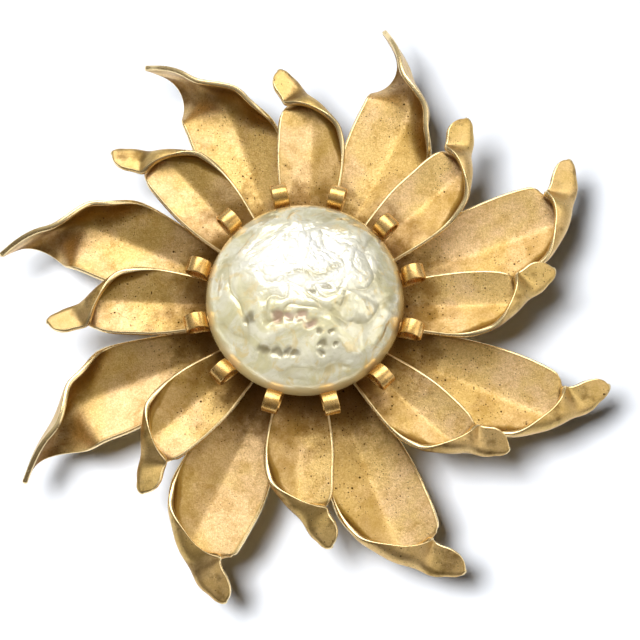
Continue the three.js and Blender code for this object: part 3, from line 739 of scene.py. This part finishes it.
# The near-white colour is a painted highlight, the fold and dimple colours are painted shade, and the rim
# colour is a painted reflection of the gold collar.
NACRE = {
    "cream": srgb(242, 237, 210), "straw": srgb(222, 214, 168), "ochre": srgb(234, 210, 148),
    "milk": srgb(206, 202, 166), "fold": srgb(182, 170, 122), "painted_highlight": srgb(255, 254, 248),
    "pink_dimple": srgb(176, 140, 118), "grey_dimple": srgb(116, 104, 72), "rim": srgb(222, 196, 132),
}


def pearl_material():
    """Pearl lacquer over moulded glass: cream nacre with ochre patches, a painted highlight over the
    crinkled patch, painted shade in the folds and dimples, and a painted reflection of the gold collar at
    the rim.
    """
    n = Nodes("pearl_lacquer")
    painted_highlight = n.value("painted_highlight")
    drift = n.noise(0.22, 4.0, 0.6, 1.2)
    colour = n.blend(n.range(drift, 0.36, 0.64), NACRE["cream"], NACRE["straw"])
    ochre = n.noise(0.3, 4.0, 0.6, 2.0)
    colour = n.blend(n.range(ochre, 0.52, 0.66, 0, 0.75), colour, NACRE["ochre"])
    milky = n.noise(0.8, 5.0, 0.6, 1.8)
    colour = n.blend(n.range(milky, 0.5, 0.72, 0, 0.5), colour, NACRE["milk"])
    # painted shade in the grooves of the folds and along the ridge
    colour = n.blend(n.range(n.value("fold"), 0.3, 0.9, 0, 0.5), colour, NACRE["fold"])
    # a painted highlight: near-white over the crinkled patch
    colour = n.blend(n.times(painted_highlight, 0.92), colour, NACRE["painted_highlight"])
    # painted shade in the dimples, pink in one group and grey in the others
    colour = n.blend(n.times(n.value("pink_dimple"), 0.8), colour, NACRE["pink_dimple"])
    colour = n.blend(n.times(n.value("grey_dimple"), 0.75), colour, NACRE["grey_dimple"])
    # a painted reflection of the gold collar round the rim
    colour = n.blend(n.times(n.value("rim"), 0.8), colour, NACRE["rim"])
    return n.shader(
        Base_Color=colour, Metallic=n.range(painted_highlight, 0.0, 1.0, 0.38, 0.12),
        Roughness=n.range(milky, 0.3, 0.7, 0.16, 0.26),
        Normal=n.bump(n.noise(1.6, 4.0, 0.55, 1.4), 0.35, 0.12),
        Coat_Weight=1.0, Coat_Roughness=0.04, Coat_IOR=1.52,
    )


# ---- the stone

PEARL_RINGS = 190
PEARL_SIDES = 400
PEARL_GIRDLE = 0.4  # where it is widest, over its flat foot
PEARL_FOOT_INSET = 0.6
# How high or deep each kind of wrinkle is. The last two are for the dimples.
RELIEF = {"pool": 0.4, "ripple": 0.07, "fold": 0.26, "crinkle": 0.2, "ridge": 0.26, "pink": 1.1, "grey": 1.3}
RELIEF_ENDS = (10.8, 12.2)  # radii over which the wrinkles run out
# radii of the rim's painted reflection of the gold collar
COLLAR_REFLECTION_RING = (11.5, 12.4)
WANDER = ((1.8, 0.15), (0.5, 0.45))  # how far the wrinkles stray and how often, coarse and fine
SWIRL_CENTRE = (-0.6, 2.4)  # the wrinkles run round this place
BUSY = {"y": 3.6, "half": (8.0, 4.8), "crinkle_elsewhere": 0.12}  # the crinkled patch, painted whitest as a highlight
RIDGE = {"slope": 0.37, "drop": 0.7, "half": 0.45, "centre_x": 1, "reach": 4}  # under the busy patch
# Groups of dimples: centre x, y, radius, depth.
PINK_DIMPLES = [
    (-3.4, -4.0, 0.9, 0.3), (-1.9, -3.9, 0.8, 0.26), (-0.4, -4.0, 0.9, 0.32), (0.7, -4.9, 0.8, 0.24),
]
GREY_DIMPLES = [
    (-5.0, -7.9, 0.75, 0.22), (-3.5, -8.3, 0.8, 0.3), (-2.2, -8.3, 0.65, 0.3), (-1.1, -8.5, 0.7, 0.24),
    (2.2, -7.4, 0.55, 0.25), (2.0, -8.5, 0.55, 0.25), (3.3, -5.9, 0.5, 0.2), (3.9, -7.4, 0.5, 0.24),
    (2.0, -5.9, 0.4, 0.16), (-6.9, -4.0, 0.75, 0.18), (0.9, -0.9, 0.5, 0.16), (2.6, -0.2, 0.5, 0.16),
]
DIMPLE = {"wobble": 0.45, "wobble_often": 0.8, "flatter": 1.25}


def dimple_depth(x, y, dimples, noise):
    """How far each place is sunk by the dimples, and how much it belongs to one, 0 to 1."""
    often = DIMPLE["wobble_often"]
    wobble_x = x + DIMPLE["wobble"] * noise(x * often, y * often, 9.1)
    wobble_y = y + DIMPLE["wobble"] * noise(x * often, y * often, 4.3)
    depth = np.zeros_like(x)
    within = np.zeros_like(x)
    for centre_x, centre_y, radius, sunk in dimples:
        away = np.hypot(wobble_x - centre_x, (wobble_y - centre_y) * DIMPLE["flatter"]) / radius
        inside = np.exp(-away ** 4)
        depth = np.maximum(depth, sunk * inside)
        within = np.maximum(within, inside)
    return depth, within


def ridged(values, sharpness):
    """Turns smooth noise into crests along its zero lines, 0 to 1."""
    return (1 - np.abs(values) * sharpness).clip(0, 1) ** 2


def swirled(x, y, noise):
    """Each place as seen from the swirl's centre, after the wrinkles' wandering."""
    def strayed(first):
        return sum(far * noise(x * often, y * often, first + i) for i, (far, often) in enumerate(WANDER))

    return x + strayed(1.5) - SWIRL_CENTRE[0], y + strayed(7.5) - SWIRL_CENTRE[1]


def pearl_relief(x, y):
    """The height of the stone's surface over its plain dome, and the marks that colour it."""
    noise = Noise(41)
    dx, dy = swirled(x, y, noise)
    rho, phi = np.hypot(dx, dy), np.arctan2(dy, dx)
    folds = ridged(noise(rho * 0.3, np.cos(phi) * 1.5, np.sin(phi) * 1.5), 1.9)
    half_x, half_y = BUSY["half"]
    busy = np.exp(-((x / half_x) ** 2 + ((y - BUSY["y"]) / half_y) ** 2) ** 2)
    coarse = ridged(noise(dx * 0.8, dy * 1.1, 3.3), 1.6)
    crinkle = 0.6 * coarse + 0.4 * ridged(noise(dx * 1.9, dy * 2.3, 6.6), 1.5)
    slant = dy - RIDGE["slope"] * dx + RIDGE["drop"]
    ridge = np.exp(-(slant / RIDGE["half"]) ** 2) * np.exp(-((x - RIDGE["centre_x"]) / RIDGE["reach"]) ** 4)
    pink_depth, pink = dimple_depth(x, y, PINK_DIMPLES, noise)
    grey_depth, grey = dimple_depth(x, y, GREY_DIMPLES, noise)
    elsewhere = BUSY["crinkle_elsewhere"]
    height = RELIEF["pool"] * noise(dx * 0.34, dy * 0.34, 5.2) - RELIEF["fold"] * folds
    height = height - RELIEF["crinkle"] * crinkle * (elsewhere + (1 - elsewhere) * busy)
    height = height + RELIEF["ridge"] * ridge - RELIEF["pink"] * pink_depth - RELIEF["grey"] * grey_depth
    height = height + RELIEF["ripple"] * noise(dx * 0.95, dy * 0.95, 8.8)
    out = np.hypot(x, y)
    smooth = 1 - ease(*RELIEF_ENDS, out)
    # Marks: painted shade in the folds and dimples, a painted reflection of the gold collar round the rim,
    # and a painted highlight over the crinkled patch.
    return height * smooth, {
        "fold": np.maximum(folds * (1 - 0.7 * busy), ridge) * smooth,
        "pink_dimple": pink * smooth,
        "grey_dimple": grey * smooth,
        "rim": ease(*COLLAR_REFLECTION_RING, out),
        "painted_highlight": busy * (1 - 0.75 * ridge) * (1 - 0.45 * ease(0.35, 0.9, crinkle)),
    }


def fine_pearl():
    low, high = box_mm("pearl_cabochon")
    radius = (high[0] - low[0]) / 2
    girdle = low[2] + PEARL_GIRDLE
    dome = high[2] - girdle
    lift = np.linspace(0, math.pi / 2, PEARL_RINGS)
    angles = np.arange(PEARL_SIDES) / PEARL_SIDES * TAU
    x = (radius * np.cos(lift))[:, None] * np.cos(angles)
    y = (radius * np.cos(lift))[:, None] * np.sin(angles)
    z = np.broadcast_to((girdle + dome * np.sin(lift))[:, None], x.shape)
    height, marks = pearl_relief(x, y)
    normal = np.stack([x / radius ** 2, y / radius ** 2, (z - girdle) / dome ** 2], axis=-1)
    normal /= np.linalg.norm(normal, axis=-1, keepdims=True)
    shell = np.stack([x, y, z], axis=-1) + normal * height[..., None]
    foot_radius = radius - PEARL_FOOT_INSET
    foot_z = np.full(PEARL_SIDES, low[2])
    foot = np.stack([foot_radius * np.cos(angles), foot_radius * np.sin(angles), foot_z], axis=-1)
    points = np.concatenate([foot[None], shell]).reshape(-1, 3)
    faces = [tuple(range(PEARL_SIDES))[::-1]] + ring_faces(PEARL_RINGS + 1, PEARL_SIDES)
    at_foot = {"rim": 1}
    return mesh_object("pearl_cabochon_fine", points, faces, {
        label: np.concatenate([np.full(PEARL_SIDES, at_foot.get(label, 0)), values.ravel()])
        for label, values in marks.items()
    })


# ---- collar of curled strips

SCROLLS = 12
SCROLL_WIDTH = 2
SCROLL_SHEET = 0.4
SCROLL_CORNER = 0.12
SCROLL_LOOP_RADIUS = 1.25
SCROLL_LOOP_CENTRE = (14.02, 10.8)
SCROLL_LOOP_START = -90
SCROLL_LOOP_END = 195
SCROLL_FIRST_ANGLE = 13.2
SCROLL_LOOP_STEPS = 64
SCROLL_LEG = {"inset": 0.6, "reach": 1.4, "lift": 0.4, "on_rise": 0.75, "steps": 24}
DISH_FOOT = 7
DISH_RIM = 9.4
DISH_RISE = 0.7
RIVET_HOLE = 1.6


def collar_base():
    return box_mm("scroll_collar")[0][2]


def scroll_line():
    """The middle of an arm's strip in radius and Z: a leg that rises off the dish, and then its loop."""
    centre_r, centre_z = SCROLL_LOOP_CENTRE
    bottom = np.array([centre_r, centre_z - SCROLL_LOOP_RADIUS])
    on_dish = collar_base() + SCROLL_SHEET / 2 + DISH_RISE * SCROLL_LEG["on_rise"]
    start = np.array([DISH_RIM - SCROLL_LEG["inset"], on_dish])
    first = start + (SCROLL_LEG["reach"], SCROLL_LEG["lift"])
    second = bottom - (SCROLL_LEG["reach"], 0)
    t = np.linspace(0, 1, SCROLL_LEG["steps"] + 1)[:-1, None]
    leg = (1 - t) ** 3 * start + 3 * t * (1 - t) ** 2 * first
    leg = leg + 3 * t * t * (1 - t) * second + t ** 3 * bottom
    loop = arc(SCROLL_LOOP_CENTRE, SCROLL_LOOP_RADIUS, SCROLL_LOOP_START, SCROLL_LOOP_END, SCROLL_LOOP_STEPS)
    return np.concatenate([leg, loop])


def scroll_arms():
    line = scroll_line()
    along = np.gradient(line, axis=0)
    along /= np.linalg.norm(along, axis=1, keepdims=True)
    aside = np.stack([along[:, 1], -along[:, 0]], axis=-1)
    half, thick = SCROLL_WIDTH / 2, SCROLL_SHEET / 2
    section = rounded_rectangle((-half, -thick), (half, thick), SCROLL_CORNER, 4)
    count = len(section)
    rings = []
    for point, side in zip(line, aside):
        offset = point + section[:, 1:2] * side
        rings.append(np.stack([offset[:, 0], section[:, 0], offset[:, 1]], axis=-1))
    one = np.concatenate(rings)
    ends = [tuple(range(count)), tuple(range(len(one) - count, len(one)))]
    faces_of_one = ends + ring_faces(len(line), count)
    points, faces = [], []
    for n in range(SCROLLS):
        faces += [tuple(i + n * len(one) for i in face) for face in faces_of_one]
        points.append(turned_about_z(one, SCROLL_FIRST_ANGLE + n * 360 / SCROLLS))
    return mesh_object("scroll_arms", np.concatenate(points), faces)


def scroll_collar():
    base = collar_base()
    dish = lathe("scroll_collar_fine", [
        (RIVET_HOLE, base), (DISH_FOOT, base), (DISH_RIM, base + DISH_RISE),
        (DISH_RIM, base + DISH_RISE + SCROLL_SHEET), (DISH_FOOT, base + SCROLL_SHEET),
        (RIVET_HOLE, base + SCROLL_SHEET), (RIVET_HOLE, base),
    ])
    return joined(dish, [scroll_arms()])


# ---- round pieces of the stack

CUP_SHEET = 0.4
RIVET = {"radius": 1.5, "head_thickness": 0.5, "flat": 0.7}
CEMENT = {"pocket": 3.25, "foot_inset": 0.25}
LAND = {"radius": 4.2, "height": 0.1, "slope": 0.2}  # of the back plate, which touches the cloth there
PLATE_SHEET = 0.6


def box_washer(node, inner):
    """A flat ring that fills its node's box, with softened corners."""
    low, high = box_mm(node)
    outer = (high[0] - low[0]) / 2
    middle = (outer + inner) / 2
    profile = filleted([
        (middle, low[2]), (outer, low[2]), (outer, high[2]),
        (inner, high[2]), (inner, low[2]), (middle, low[2]),
    ], 0.12)
    return lathe(f"{node}_fine", profile)


def pearl_cup():
    low, high = box_mm("pearl_cup")
    rim = (high[0] - low[0]) / 2
    middle = (RIVET_HOLE + DISH_FOOT) / 2
    inside = low[2] + CUP_SHEET
    return lathe("pearl_cup_fine", filleted([
        (middle, low[2]), (DISH_FOOT, low[2]), (rim, high[2] - CUP_SHEET), (rim, high[2]),
        (DISH_FOOT, inside), (RIVET_HOLE, inside), (RIVET_HOLE, low[2]), (middle, low[2]),
    ], 0.15))


def rivet(name, low, high, sizes, corner, sides):
    """A shank along Z with a head at each end, from low to high."""
    head, shank, thick = sizes["head"], sizes["radius"], sizes["head_thickness"]
    flat = head * sizes["flat"]
    return lathe(name, filleted([
        (0, low), (flat, low), (head, low + thick), (shank, low + thick),
        (shank, high - thick), (head, high - thick), (flat, high), (0, high),
    ], corner), sides)


def centre_rivet():
    low, high = box_mm("centre_rivet")
    sizes = {"head": (high[0] - low[0]) / 2, **RIVET}
    return rivet("centre_rivet_fine", low[2], high[2], sizes, 0.2, 64)


def back_plate():
    low, high = box_mm("back_plate")
    outer = (high[0] - low[0]) / 2
    inner = outer - PLATE_SHEET
    top, bottom = high[2], low[2]
    shoulder = bottom + LAND["height"]
    return lathe("back_plate_fine", filleted([
        (0, bottom), (LAND["radius"], bottom), (LAND["radius"] + LAND["slope"], shoulder), (outer, shoulder),
        (outer, top), (inner, top), (inner, bottom + PLATE_SHEET), (0, bottom + PLATE_SHEET),
    ], 0.45, 8), 160)


def cement_bed():
    """Fills the cup from its floor, over the rivet's head, up to the stone."""
    low, high = box_mm("cement_bed")
    cup_low, cup_high = box_mm("pearl_cup")
    side = (high[0] - low[0]) / 2
    floor = cup_low[2] + CUP_SHEET + BRAZE
    over_head = box_mm("centre_rivet")[1][2] + BRAZE
    return lathe("cement_bed_fine", filleted([
        (0, over_head), (CEMENT["pocket"], over_head), (CEMENT["pocket"], floor),
        (DISH_FOOT - CEMENT["foot_inset"], floor), (side, cup_high[2] + BRAZE),
        (side, high[2]), (0, high[2]),
    ], 0.1))


# ---- pin-back

EAR = {"radius": 1.5, "thickness": 0.7, "gap": 1.8, "hole": 0.55, "foot_half": 2.0}
EYE = {"radius": 1.3, "width": 1.6, "hole": 0.58}
STEM = {"radius": 0.45, "length": 43.5, "taper": 9.0, "taper_steps": 24, "taper_power": 1.8}
AXLE = {"radius": 0.5, "head": 0.9, "head_thickness": 0.3, "flat": 0.75}
CATCH = {"inner": 1.65, "outer": 2.15, "slot": 1.3, "neck": 2.4}
ROTOR = {"radius": 1.55, "bore": 0.62, "slot": 1.2, "collar": 2.05, "tab_collar": 1.1, "end_collar": 0.6,
         "step": 0.02}
TAB = {"angle": 210, "reach": 3.8, "thickness": 0.7, "sunk": 0.2}
FOOT = {"thickness": 0.6, "half": 2.3, "corner": 0.5}
ROUND = 72


def joint_mm(name):
    found = next(j for j in frame["joints"] if j["name"] == name)
    return np.array(found["pos_m"]) / MM


# Where a drawing's two axes and its height go.

def on_xz(a, b, c):
    return (a, c, b)


def on_yz(a, b, c):
    return (c, a, b)


def on_xy(a, b, c):
    return (a, b, c)


def pin_bar():
    low, high = box_mm("pin_bar")
    half = (high[1] - low[1]) / 2
    middle = (high[1] + low[1]) / 2
    outline = np.concatenate([
        arc((high[0] - half, middle), half, -90, 90, 32),
        arc((low[0] + half, middle), half, 90, 270, 32),
    ])
    return plate("pin_bar_fine", [outline], low[2], high[2], 0.14, on_xy)


def foot_plate(name, node):
    """The flat foot that a fitting is brazed to the bar with, as long as its node's box."""
    low, high = box_mm(node)
    pin_y = joint_mm("pin_swing")[1]
    half = FOOT["half"]
    outline = rounded_rectangle((low[0], pin_y - half), (high[0], pin_y + half), FOOT["corner"])
    return plate(name, [outline], high[2] - FOOT["thickness"], high[2], 0.1, on_xy)


def hinge_bracket():
    hinge_x, pin_y, stem_z = joint_mm("pin_swing")
    foot_z = box_mm("hinge_bracket")[1][2] - FOOT["thickness"] / 2
    sides = [(hinge_x + EAR["foot_half"], foot_z), (hinge_x - EAR["foot_half"], foot_z)]
    outline = np.concatenate([sides, arc((hinge_x, stem_z), EAR["radius"], 180, 360, ROUND // 2)])
    hole = arc((hinge_x, stem_z), EAR["hole"], 0, 360, ROUND // 2)[:-1]
    ears = [
        plate("ear", [outline, hole], from_y, from_y + EAR["thickness"], 0.08, on_xz)
        for from_y in (pin_y - EAR["gap"] / 2 - EAR["thickness"], pin_y + EAR["gap"] / 2)
    ]
    return joined(foot_plate("hinge_bracket_fine", "hinge_bracket"), ears)


def hinge_rivet():
    end = EAR["gap"] / 2 + EAR["thickness"] + BRAZE + AXLE["head_thickness"]
    axle = rivet("hinge_rivet_fine", -end, end, AXLE, 0.14, 48)
    hinge = Matrix.Translation(Vector(joint_mm("pin_swing")) * MM)
    axle.data.transform(hinge @ Matrix.Rotation(math.pi / 2, 4, "X"))
    return axle


def pin_stem():
    hinge = joint_mm("pin_swing")
    hinge_x, pin_y, stem_z = hinge
    ring = arc((hinge_x, stem_z), EYE["radius"], 0, 360, ROUND)[:-1]
    hole = arc((hinge_x, stem_z), EYE["hole"], 0, 360, ROUND // 2)[:-1]
    half = EYE["width"] / 2
    eye = plate("pin_stem_fine", [ring, hole], pin_y - half, pin_y + half, 0.1, on_xz)
    start = (EYE["hole"] + EYE["radius"]) / 2
    taper = np.linspace(0, 1, STEM["taper_steps"])
    tail = STEM["length"] - STEM["taper"] * (1 - taper)
    slim = STEM["radius"] * (1 - taper ** STEM["taper_power"])
    wire = lathe("stem_wire", [(0, start), (STEM["radius"], start), *zip(slim, tail)], 40)
    wire.data.transform(Matrix.Translation(Vector(hinge) * MM) @ Matrix.Rotation(math.pi / 2, 4, "Y"))
    return joined(eye, [wire])


def slotted_ring(outer, inner, slot, neck=None, neck_top=None):
    """A tube's section in Y and Z, open downwards by a slot, and with a neck on top if one is given."""
    _, pin_y, stem_z = joint_mm("catch_turn")
    centre = (pin_y, stem_z)
    outer_gap = math.degrees(math.asin(slot / 2 / outer))
    inner_gap = math.degrees(math.asin(slot / 2 / inner))
    if neck is None:
        outside = arc(centre, outer, -90 + outer_gap, 270 - outer_gap, ROUND)
    else:
        shoulder = math.degrees(math.acos(neck / 2 / outer))
        outside = np.concatenate([
            arc(centre, outer, -90 + outer_gap, shoulder, ROUND // 2),
            [(pin_y + neck / 2, neck_top), (pin_y - neck / 2, neck_top)],
            arc(centre, outer, 180 - shoulder, 270 - outer_gap, ROUND // 2),
        ])
    inside = arc(centre, inner, 270 - inner_gap, -90 + inner_gap, ROUND)
    return np.concatenate([outside, inside])


def catch_housing():
    low, high = box_mm("catch_housing")
    neck_top = high[2] - FOOT["thickness"] / 2
    section = slotted_ring(CATCH["outer"], CATCH["inner"], CATCH["slot"], CATCH["neck"], neck_top)
    tube = plate("catch_tube", [section], low[0], high[0], 0.07, on_yz)
    return joined(foot_plate("catch_housing_fine", "catch_housing"), [tube])


def thumb_tab(pin_y, stem_z):
    """The tab's outline in Y and Z: a blade with a round end that leans away from the drum."""
    half = TAB["thickness"] / 2
    turn = math.radians(TAB["angle"])
    inner = ROTOR["radius"] - TAB["sunk"]
    round_end = arc((TAB["reach"] - half, 0), half, -90, 90, 16)
    outline = np.concatenate([[(inner, -half)], round_end, [(inner, half)]])
    across = outline[:, 0] * math.cos(turn) - outline[:, 1] * math.sin(turn) + pin_y
    upward = outline[:, 0] * math.sin(turn) + outline[:, 1] * math.cos(turn) + stem_z
    return np.stack([across, upward], axis=-1)


def catch_rotor():
    """A slotted drum with a collar at each end, and a thumb tab on one of them."""
    low, high = box_mm("catch_rotor")
    _, pin_y, stem_z = joint_mm("catch_turn")
    step = ROTOR["step"]
    drum = slotted_ring(ROTOR["radius"], ROTOR["bore"], ROTOR["slot"])
    collar = slotted_ring(ROTOR["collar"], ROTOR["bore"] + step, ROTOR["slot"])
    body = plate("catch_rotor_fine", [drum], low[0] + step, high[0] - step, 0.05, on_yz)
    tab_end = low[0] + ROTOR["tab_collar"]
    tools = [
        plate("collar_tab", [collar], low[0], tab_end, 0.06, on_yz),
        plate("collar_end", [collar], high[0] - ROTOR["end_collar"], high[0], 0.06, on_yz),
        plate("thumb_tab", [thumb_tab(pin_y, stem_z)], low[0], tab_end, 0.1, on_yz),
    ]
    return joined(body, tools)


# ---- floor, lights, camera

AIM = Vector((1.9, -2.6, 10.0))  # millimetres
CAMERA_ELEVATION = 73
CAMERA_DISTANCE = 350
LENS = 156.8
SENSOR = 36
FLOOR_HALF = 1.2  # metres
FLOOR_STEPS = 24
FLOOR_TONES = (0.84, 0.875, 0.93, 1), (0.86, 0.89, 0.94, 1)
# The room is dim below and towards the wearer's feet, and lighter towards the softbox.
WORLD = {"dark": (0.17, 0.15, 0.13, 1), "light": (0.62, 0.61, 0.59, 1), "towards": (0, 0.55, 0.83)}
# The lights: direction from the brooch, distance and size in metres, watts, colour.
SOFTBOX = {"direction": (0, 0.6, 0.8), "distance": 0.62, "size": (0.6, 0.4), "watts": 2.4,
           "colour": (1, 1, 1)}
SIDE_FILL = {"direction": (0.85, -0.1, 0.6), "distance": 0.6, "size": (0.5, 0.5), "watts": 0.9,
             "colour": (1, 0.98, 0.95)}
KEY = {"direction": (-0.25, -0.1, 0.96), "distance": 0.75, "size": (0.22, 0.22), "watts": 7.9,
       "colour": (1, 1, 1)}


def studio_floor():
    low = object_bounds()[0].z
    steps = np.linspace(-FLOOR_HALF, FLOOR_HALF, FLOOR_STEPS + 1) / MM
    points = [(x, y, low / MM) for y in steps for x in steps]
    faces = []
    for i in range(FLOOR_STEPS):
        for j in range(FLOOR_STEPS):
            a = i * (FLOOR_STEPS + 1) + j
            b = a + FLOOR_STEPS + 1
            faces.append((a, a + 1, b + 1, b))
    floor = mesh_object("studio_floor", points, faces)
    n = Nodes("pale_floor")
    paper = n.noise(0.02, 2.0)
    colour = n.blend(n.range(paper, 0.3, 0.7), *FLOOR_TONES)
    floor.data.materials.append(n.shader(Base_Color=colour, Roughness=0.9))
    floor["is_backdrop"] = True


def area_light(name, direction, distance, size, watts, colour):
    """A rectangular lamp, aimed at the brooch."""
    data = bpy.data.lights.new(name, "AREA")
    data.shape = "RECTANGLE"
    data.size, data.size_y = size
    data.energy = watts
    data.color = colour
    lamp = new_object(name, data)
    direction = Vector(direction).normalized()
    lamp.location = AIM * MM + direction * distance
    lamp.rotation_euler = direction.to_track_quat("Z", "Y").to_euler()
    return lamp


def studio():
    """A dim room, a broad softbox that the metal reflects, and a lamp that makes the shadow."""
    world = bpy.data.worlds.new("studio")
    bpy.context.scene.world = world
    world.use_nodes = True
    tree = world.node_tree
    coordinates = tree.nodes.new("ShaderNodeTexCoord")
    facing = tree.nodes.new("ShaderNodeVectorMath")
    facing.operation = "DOT_PRODUCT"
    facing.inputs[1].default_value = WORLD["towards"]
    ramp = tree.nodes.new("ShaderNodeValToRGB")
    ramp.color_ramp.interpolation = "EASE"
    ramp.color_ramp.elements[0].position = 0.1
    ramp.color_ramp.elements[0].color = WORLD["dark"]
    ramp.color_ramp.elements[1].color = WORLD["light"]
    tree.links.new(coordinates.outputs["Generated"], facing.inputs[0])
    tree.links.new(facing.outputs["Value"], ramp.inputs[0])
    tree.links.new(ramp.outputs["Color"], tree.nodes["Background"].inputs["Color"])
    world.cycles_visibility.diffuse = False
    area_light("softbox", **SOFTBOX).visible_diffuse = False
    area_light("side_fill", **SIDE_FILL).visible_diffuse = False
    area_light("key", **KEY).visible_glossy = False
    bpy.context.scene.view_settings.view_transform = "Standard"


def studio_camera():
    data = bpy.data.cameras.new("camera")
    data.lens = LENS
    data.sensor_width = SENSOR
    data.clip_start = 0.01
    camera = new_object("camera", data)
    up = math.radians(CAMERA_ELEVATION)
    back = Vector((0, -math.cos(up), math.sin(up)))
    camera.location = (AIM + back * CAMERA_DISTANCE) * MM
    camera.rotation_euler = back.to_track_quat("Z", "Y").to_euler()
    bpy.context.scene.camera = camera


# ---- the assembly

def build():
    gold = satin_gold("satin_gold")
    plain_gold = satin_gold("satin_gold_back")
    gilt = bright_gold("bright_gold", 0)

    def fitting(made, node, body="flower"):
        finish_piece(made, body, gilt, "bright_gold", node)

    petal_layer("front", FRONT_PETAL, "front_hub", FRONT_FIRST_ANGLE, FRONT_HAND, gold, 11)
    petal_layer("rear", REAR_PETAL, "rear_hub", REAR_FIRST_ANGLE, REAR_HAND, gold, 31)
    finish_piece(fine_pearl(), "flower", pearl_material(), "pearl", "pearl_cabochon")
    finish_piece(scroll_collar(), "flower", bright_gold("scroll_gold", 2), "bright_gold", "scroll_collar")
    fitting(pearl_cup(), "pearl_cup")
    finish_piece(cement_bed(), "flower", cement_material(), "cement", "cement_bed")
    fitting(centre_rivet(), "centre_rivet")
    for node in ("front_hub", "layer_spacer", "rear_hub"):
        finish_piece(box_washer(node, RIVET_HOLE), "flower", plain_gold, "satin_gold", node)
    finish_piece(back_plate(), "flower", plain_gold, "satin_gold", "back_plate")
    fitting(pin_bar(), "pin_bar")
    fitting(hinge_bracket(), "hinge_bracket")
    fitting(hinge_rivet(), "hinge_rivet")
    finish_piece(pin_stem(), "pin", pin_steel(), "pin_steel", "pin_stem")
    fitting(catch_housing(), "catch_housing")
    fitting(catch_rotor(), "catch_rotor", "catch")


build()
studio_floor()
studio()
studio_camera()
